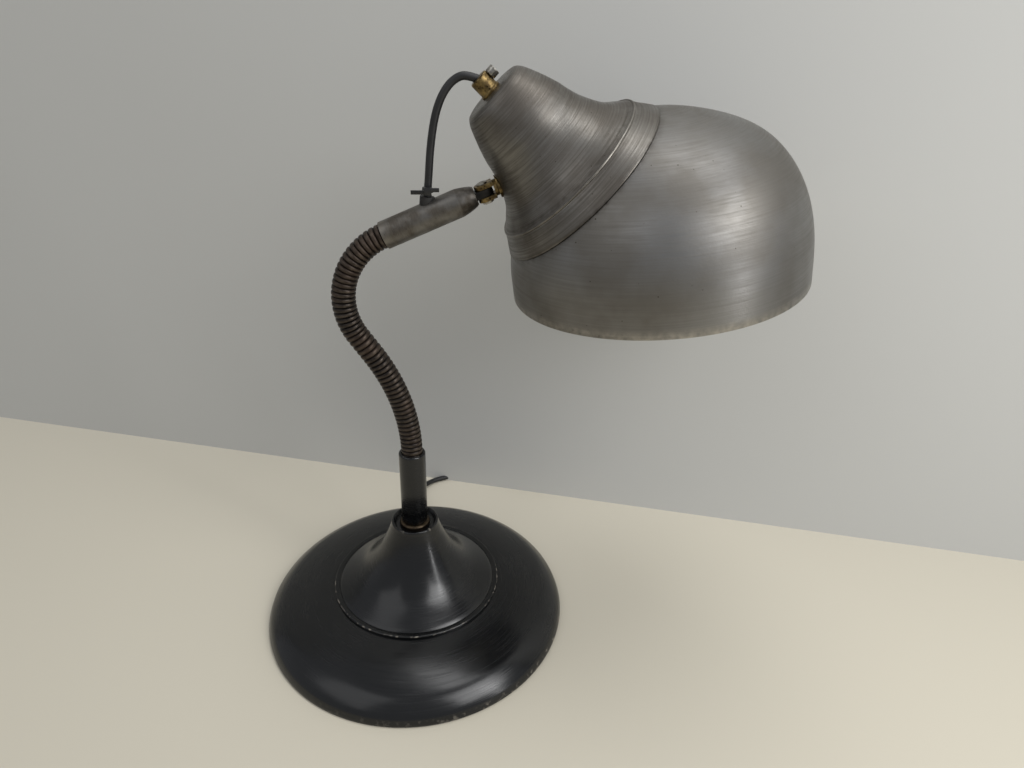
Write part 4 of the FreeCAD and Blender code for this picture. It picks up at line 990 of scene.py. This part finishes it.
# ---------------------------------------------------------------- leads
@dataclass
class Leads:
    """The free loop of lead at the head, and the mains lead on the table. Points are in millimetres."""

    frame: dict
    radius: float = 2.4
    arch: tuple[tuple[float, float], ...] = (
        (16.2, 338.2), (17.4, 350.2), (18.3, 362.4), (19.8, 374.4), (22.0, 385.6), (25.2, 394.8), (30.0, 402.4),
        (35.6, 406.8), (40.5, 407.8), (45.2, 406.5))
    to_switch: tuple[tuple[float, float, float], ...] = (
        (0.0, 121.5, 7.0), (0.0, 134.0, 7.0), (0.0, 144.5, 7.0), (2.7, 155.2, 5.0), (8.7, 164.4, 3.0),
        (18.0, 171.2, 2.45), (30.4, 175.0, 2.45), (44.5, 180.1, 2.45), (60.4, 182.1, 3.4), (75.0, 180.3, 4.6),
        (86.4, 176.6, 4.6))
    to_coil: tuple[tuple[float, float, float], ...] = (
        (141.7, 159.2, 4.6), (151.3, 156.2, 4.6), (161.5, 153.0, 3.3), (170.4, 150.0, 2.45))
    to_plug: tuple[tuple[float, float, float], ...] = (
        (189.0, 212.2, 10.6), (178.6, 215.4, 8.2), (168.8, 218.4, 6.8), (160.0, 220.9, 6.8), (156.0, 222.1, 6.8))
    coil_centre: tuple[float, float] = (189.5, 177.8)
    coil_radii: tuple[float, ...] = (32.4, 27.5, 22.6)
    coil_start: float = -107.5        # degrees
    points_per_turn: int = 14

    def build(self) -> None:
        """Builds both leads with the pieces on them."""
        self._arch()
        self._mains()
        LOG.info("leads built")

    def _curve(self, name: str, points: list[Vector], bevel: float) -> bpy.types.Object:
        """A NURBS lead along control points, in metres.

        Args:
            name: the object's name.
            points: control points.
            bevel: the lead's radius, or 0 for a bare line.

        Returns:
            The curve object.
        """
        data = bpy.data.curves.new(name, "CURVE")
        data.dimensions = "3D"
        spline = data.splines.new("NURBS")
        spline.points.add(len(points) - 1)
        for target, point in zip(spline.points, points):
            target.co = (*point, 1.0)
        spline.order_u = 3
        spline.use_endpoint_u = True
        spline.resolution_u = 6
        data.bevel_depth = bevel
        data.bevel_resolution = 5
        data.use_fill_caps = True
        obj = bpy.data.objects.new(name, data)
        bpy.context.scene.collection.objects.link(obj)
        return obj

    def _arch(self) -> None:
        """The loop from the sleeve to the grip, in two lengths split at half its run."""
        line = self._curve("arch_line", [Vector((x, 0.0, z)) * MM for x, z in self.arch], 0.0)
        bpy.context.view_layer.update()
        mesh = bpy.data.meshes.new_from_object(line)
        points = [v.co.copy() for v in mesh.vertices]
        bpy.data.objects.remove(line)
        runs = [(b - a).length for a, b in zip(points, points[1:])]
        half = next(i for i in range(len(points)) if sum(runs[:i]) >= 0.5 * sum(runs))
        lengths = (("lead_rise", points[:half + 1], "arm", "knuckle"),
                   ("lead_fall", points[half:], "knuckle", "head"))
        for name, route, first, second in lengths:
            piece = self._tube(name, route)
            dress(piece, FLEX)
            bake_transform(piece)
            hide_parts("lead_arch")

    def _tube(self, name: str, route: list[Vector]) -> bpy.types.Object:
        """A round closed tube along points.

        Args:
            name: the piece's name.
            route: points it follows, in metres.

        Returns:
            The mesh piece.
        """
        data = bpy.data.curves.new(name + "_path", "CURVE")
        data.dimensions = "3D"
        spline = data.splines.new("POLY")
        spline.points.add(len(route) - 1)
        for target, point in zip(spline.points, route):
            target.co = (*point, 1.0)
        data.bevel_depth = self.radius * MM
        data.bevel_resolution = 6
        data.use_fill_caps = True
        maker = bpy.data.objects.new(name + "_path", data)
        bpy.context.scene.collection.objects.link(maker)
        bpy.context.view_layer.update()
        piece = bpy.data.objects.new(name, bpy.data.meshes.new_from_object(maker))
        bpy.context.scene.collection.objects.link(piece)
        bpy.data.objects.remove(maker)
        activate(piece)
        bpy.ops.object.mode_set(mode="EDIT")
        bpy.ops.mesh.select_all(action="SELECT")
        bpy.ops.mesh.remove_doubles(threshold=0.00001)
        bpy.ops.mesh.normals_make_consistent(inside=False)
        bpy.ops.object.mode_set(mode="OBJECT")
        smooth(piece, 60.0)
        return piece

    def _coil(self) -> list[Vector]:
        """Control points of the neat coil: three layers, out to in, in to out, and out again."""
        outer, middle, inner = self.coil_radii
        turns = [(outer, 2.45), (middle, 2.45), (inner, 2.45), (inner, 7.3), (middle, 7.3), (outer, 7.3),
                 (middle, 12.15), (outer, 12.15)]
        count = self.points_per_turn
        spread = 1.0 / (0.5 + 0.5 * math.cos(2 * math.pi / count / 2) ** 2)
        points = []
        steps = int(8.5 * count)
        for i in range(steps + 1):
            angle = math.radians(self.coil_start + 360.0 * i / count)
            turn = i / count
            place = min(int(turn + 0.15), len(turns) - 1)
            before = max(place - 1, 0)
            share = min(1.0, max(0.0, (turn + 0.15 - place) / 0.3)) if place else 1.0
            radius = turns[before][0] + (turns[place][0] - turns[before][0]) * share
            height = turns[before][1] + (turns[place][1] - turns[before][1]) * share
            points.append(Vector((self.coil_centre[0] + radius * spread * math.cos(angle),
                                  self.coil_centre[1] + radius * spread * math.sin(angle), height)))
        return points

    def _mains(self) -> None:
        """One lead from the base through the switch and the coil to the plug."""
        points = [Vector(p) for p in self.to_switch + self.to_coil] + self._coil()
        points += [Vector(p) for p in self.to_plug]
        lead = self._curve("mains_lead", [p * MM for p in points], self.radius * MM)
        lead.data.materials.append(FLEX.material())
        for node, finish, slot, bevel in (("switch_base", BLACK_ABS, "black_plastic", 0.5),
                                          ("switch_cover", BLACK_ABS, "black_plastic", 0.5),
                                          ("switch_rocker", BLACK_ABS, "black_plastic", 0.3),
                                          ("plug_body", BLACK_ABS, "black_plastic", 0.4),
                                          ("plug_pins", NICKEL, "nickelled_steel", 0.15),
                                          ("strain_relief", RUBBER, "black_rubber", 0.25)):
            piece = refined(self.frame, node, bevel)
            dress(piece, finish)
            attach(piece, "rocker" if node == "switch_rocker" else "base")
        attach(lead, "base")
        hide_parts("mains_lead_a", "mains_lead_b", "mains_lead_c", "mains_coil")
        line = self._curve("mains_line", [p * MM for p in points], 0.0)
        bpy.context.view_layer.update()
        route = [v.co.copy() for v in bpy.data.meshes.new_from_object(line).vertices]
        bpy.data.objects.remove(line)


# ---------------------------------------------------------------- studio
@dataclass
class Studio:
    """Floor, backdrop, lamps and camera."""

    eye: tuple[float, float, float] = (16.83, -432.52, 429.71)
    down_degrees: float = 27.286
    roll_degrees: float = -2.008
    turn_degrees: float = 7.485
    lens: float = 23.83

    def build(self) -> None:
        """Sets up the whole studio."""
        self._floor()
        self._backdrop()
        self._lamps()
        self._camera()
        scene = bpy.context.scene
        scene.view_settings.view_transform = "Standard"
        LOG.info("studio built")

    def _floor(self) -> None:
        """Plain pale floor."""
        bpy.ops.object.select_all(action="DESELECT")
        bpy.ops.mesh.primitive_plane_add(size=12.0)
        floor = bpy.context.object
        floor.name = "floor"
        finish = bpy.data.materials.new("plain_floor")
        finish.use_nodes = True
        shader = finish.node_tree.nodes["Principled BSDF"]
        shader.inputs["Base Color"].default_value = linear("cfc8b6")
        shader.inputs["Roughness"].default_value = 0.6
        floor.data.materials.append(finish)

    def _backdrop(self) -> None:
        """Upright pale backdrop behind the lamp, seen from its front only."""
        bpy.ops.object.select_all(action="DESELECT")
        bpy.ops.mesh.primitive_plane_add(size=1.0)
        wall = bpy.context.object
        wall.name = "backdrop"
        normal = Vector((math.cos(math.radians(72.5)), math.sin(math.radians(72.5)), 0.0))
        across = Vector((normal.y, -normal.x, 0.0))
        turn = Matrix((across, Vector((0.0, 0.0, 1.0)), -normal)).transposed().to_4x4()
        size = Matrix.Diagonal((5.0, 1.6, 1.0, 1.0))
        wall.data.transform(Matrix.Translation(normal * 174.0 * MM + Vector((0.0, 0.0, 0.8))) @ turn @ size)
        finish = bpy.data.materials.new("plain_backdrop")
        finish.use_nodes = True
        tree = finish.node_tree
        shader = tree.nodes["Principled BSDF"]
        shader.inputs["Base Color"].default_value = linear("c3c3c0")
        shader.inputs["Roughness"].default_value = 0.9
        clear = add_node(tree, "ShaderNodeBsdfTransparent")
        behind = add_node(tree, "ShaderNodeNewGeometry").outputs["Backfacing"]
        both = add_node(tree, "ShaderNodeMixShader", None,
                        {0: behind, 1: shader.outputs[0], 2: clear.outputs[0]})
        tree.links.new(both.outputs[0], tree.nodes["Material Output"].inputs["Surface"])
        wall.data.materials.append(finish)
        wall.visible_shadow = False
        wall.visible_diffuse = False

    def _lamps(self) -> None:
        """A large soft key and a narrow strip from the right, a weak fill, a top light and an even world."""
        world = bpy.data.worlds.new("studio_world")
        bpy.context.scene.world = world
        world.use_nodes = True
        background = world.node_tree.nodes["Background"]
        background.inputs["Color"].default_value = linear("e6e9ee")
        background.inputs["Strength"].default_value = 0.5
        for name, place, size, power, target in (
                ("key", (0.75, -0.75, 1.05), (0.7, 0.7), 7.5, (0.05, 0.0, 0.15)),
                ("strip", (0.62, -0.52, 0.42), (0.05, 0.7), 1.1, (0.0, 0.0, 0.2)),
                ("fill", (-1.1, -0.7, 1.5), (1.2, 1.2), 3.2, (0.0, 0.0, 0.2)),
                ("top", (0.25, 0.1, 1.35), (0.8, 0.5), 4.5, (0.1, 0.0, 0.2))):
            data = bpy.data.lights.new(name, "AREA")
            data.shape = "RECTANGLE"
            data.size, data.size_y = size
            data.energy = power
            lamp = bpy.data.objects.new(name, data)
            bpy.context.scene.collection.objects.link(lamp)
            lamp.location = place
            lamp.rotation_euler = (Vector(place) - Vector(target)).to_track_quat("Z", "Y").to_euler()

    def _camera(self) -> None:
        """Camera at the viewing angle."""
        down, roll, turn = (math.radians(a) for a in (self.down_degrees, self.roll_degrees, self.turn_degrees))
        ahead = Vector((math.sin(turn) * math.cos(down), math.cos(turn) * math.cos(down), -math.sin(down)))
        level = Vector((math.cos(turn), -math.sin(turn), 0.0))
        upright = Vector((math.sin(turn) * math.sin(down), math.cos(turn) * math.sin(down), math.cos(down)))
        right = level * math.cos(roll) - upright * math.sin(roll)
        up = level * math.sin(roll) + upright * math.cos(roll)
        data = bpy.data.cameras.new("camera")
        data.lens = self.lens
        data.sensor_width = 36.0
        data.clip_start = 0.01
        camera = bpy.data.objects.new("camera", data)
        bpy.context.scene.collection.objects.link(camera)
        camera.matrix_world = (Matrix.Translation(Vector(self.eye) * MM)
                               @ Matrix((right, up, -ahead)).transposed().to_4x4())
        bpy.context.scene.camera = camera


def main() -> None:
    """Builds the lamp around its frame."""
    logging.basicConfig(level=logging.INFO, format="%(name)s: %(message)s")
    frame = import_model()
    BaseAssembly(frame).build()
    FlexibleHose().build()
    ArmAssembly(frame).build()
    Knuckle(frame).build()
    ShadeAssembly(frame).build()
    Leads(frame).build()
    Studio().build()
    bpy.context.view_layer.update()


if __name__ == "__main__":
    main()
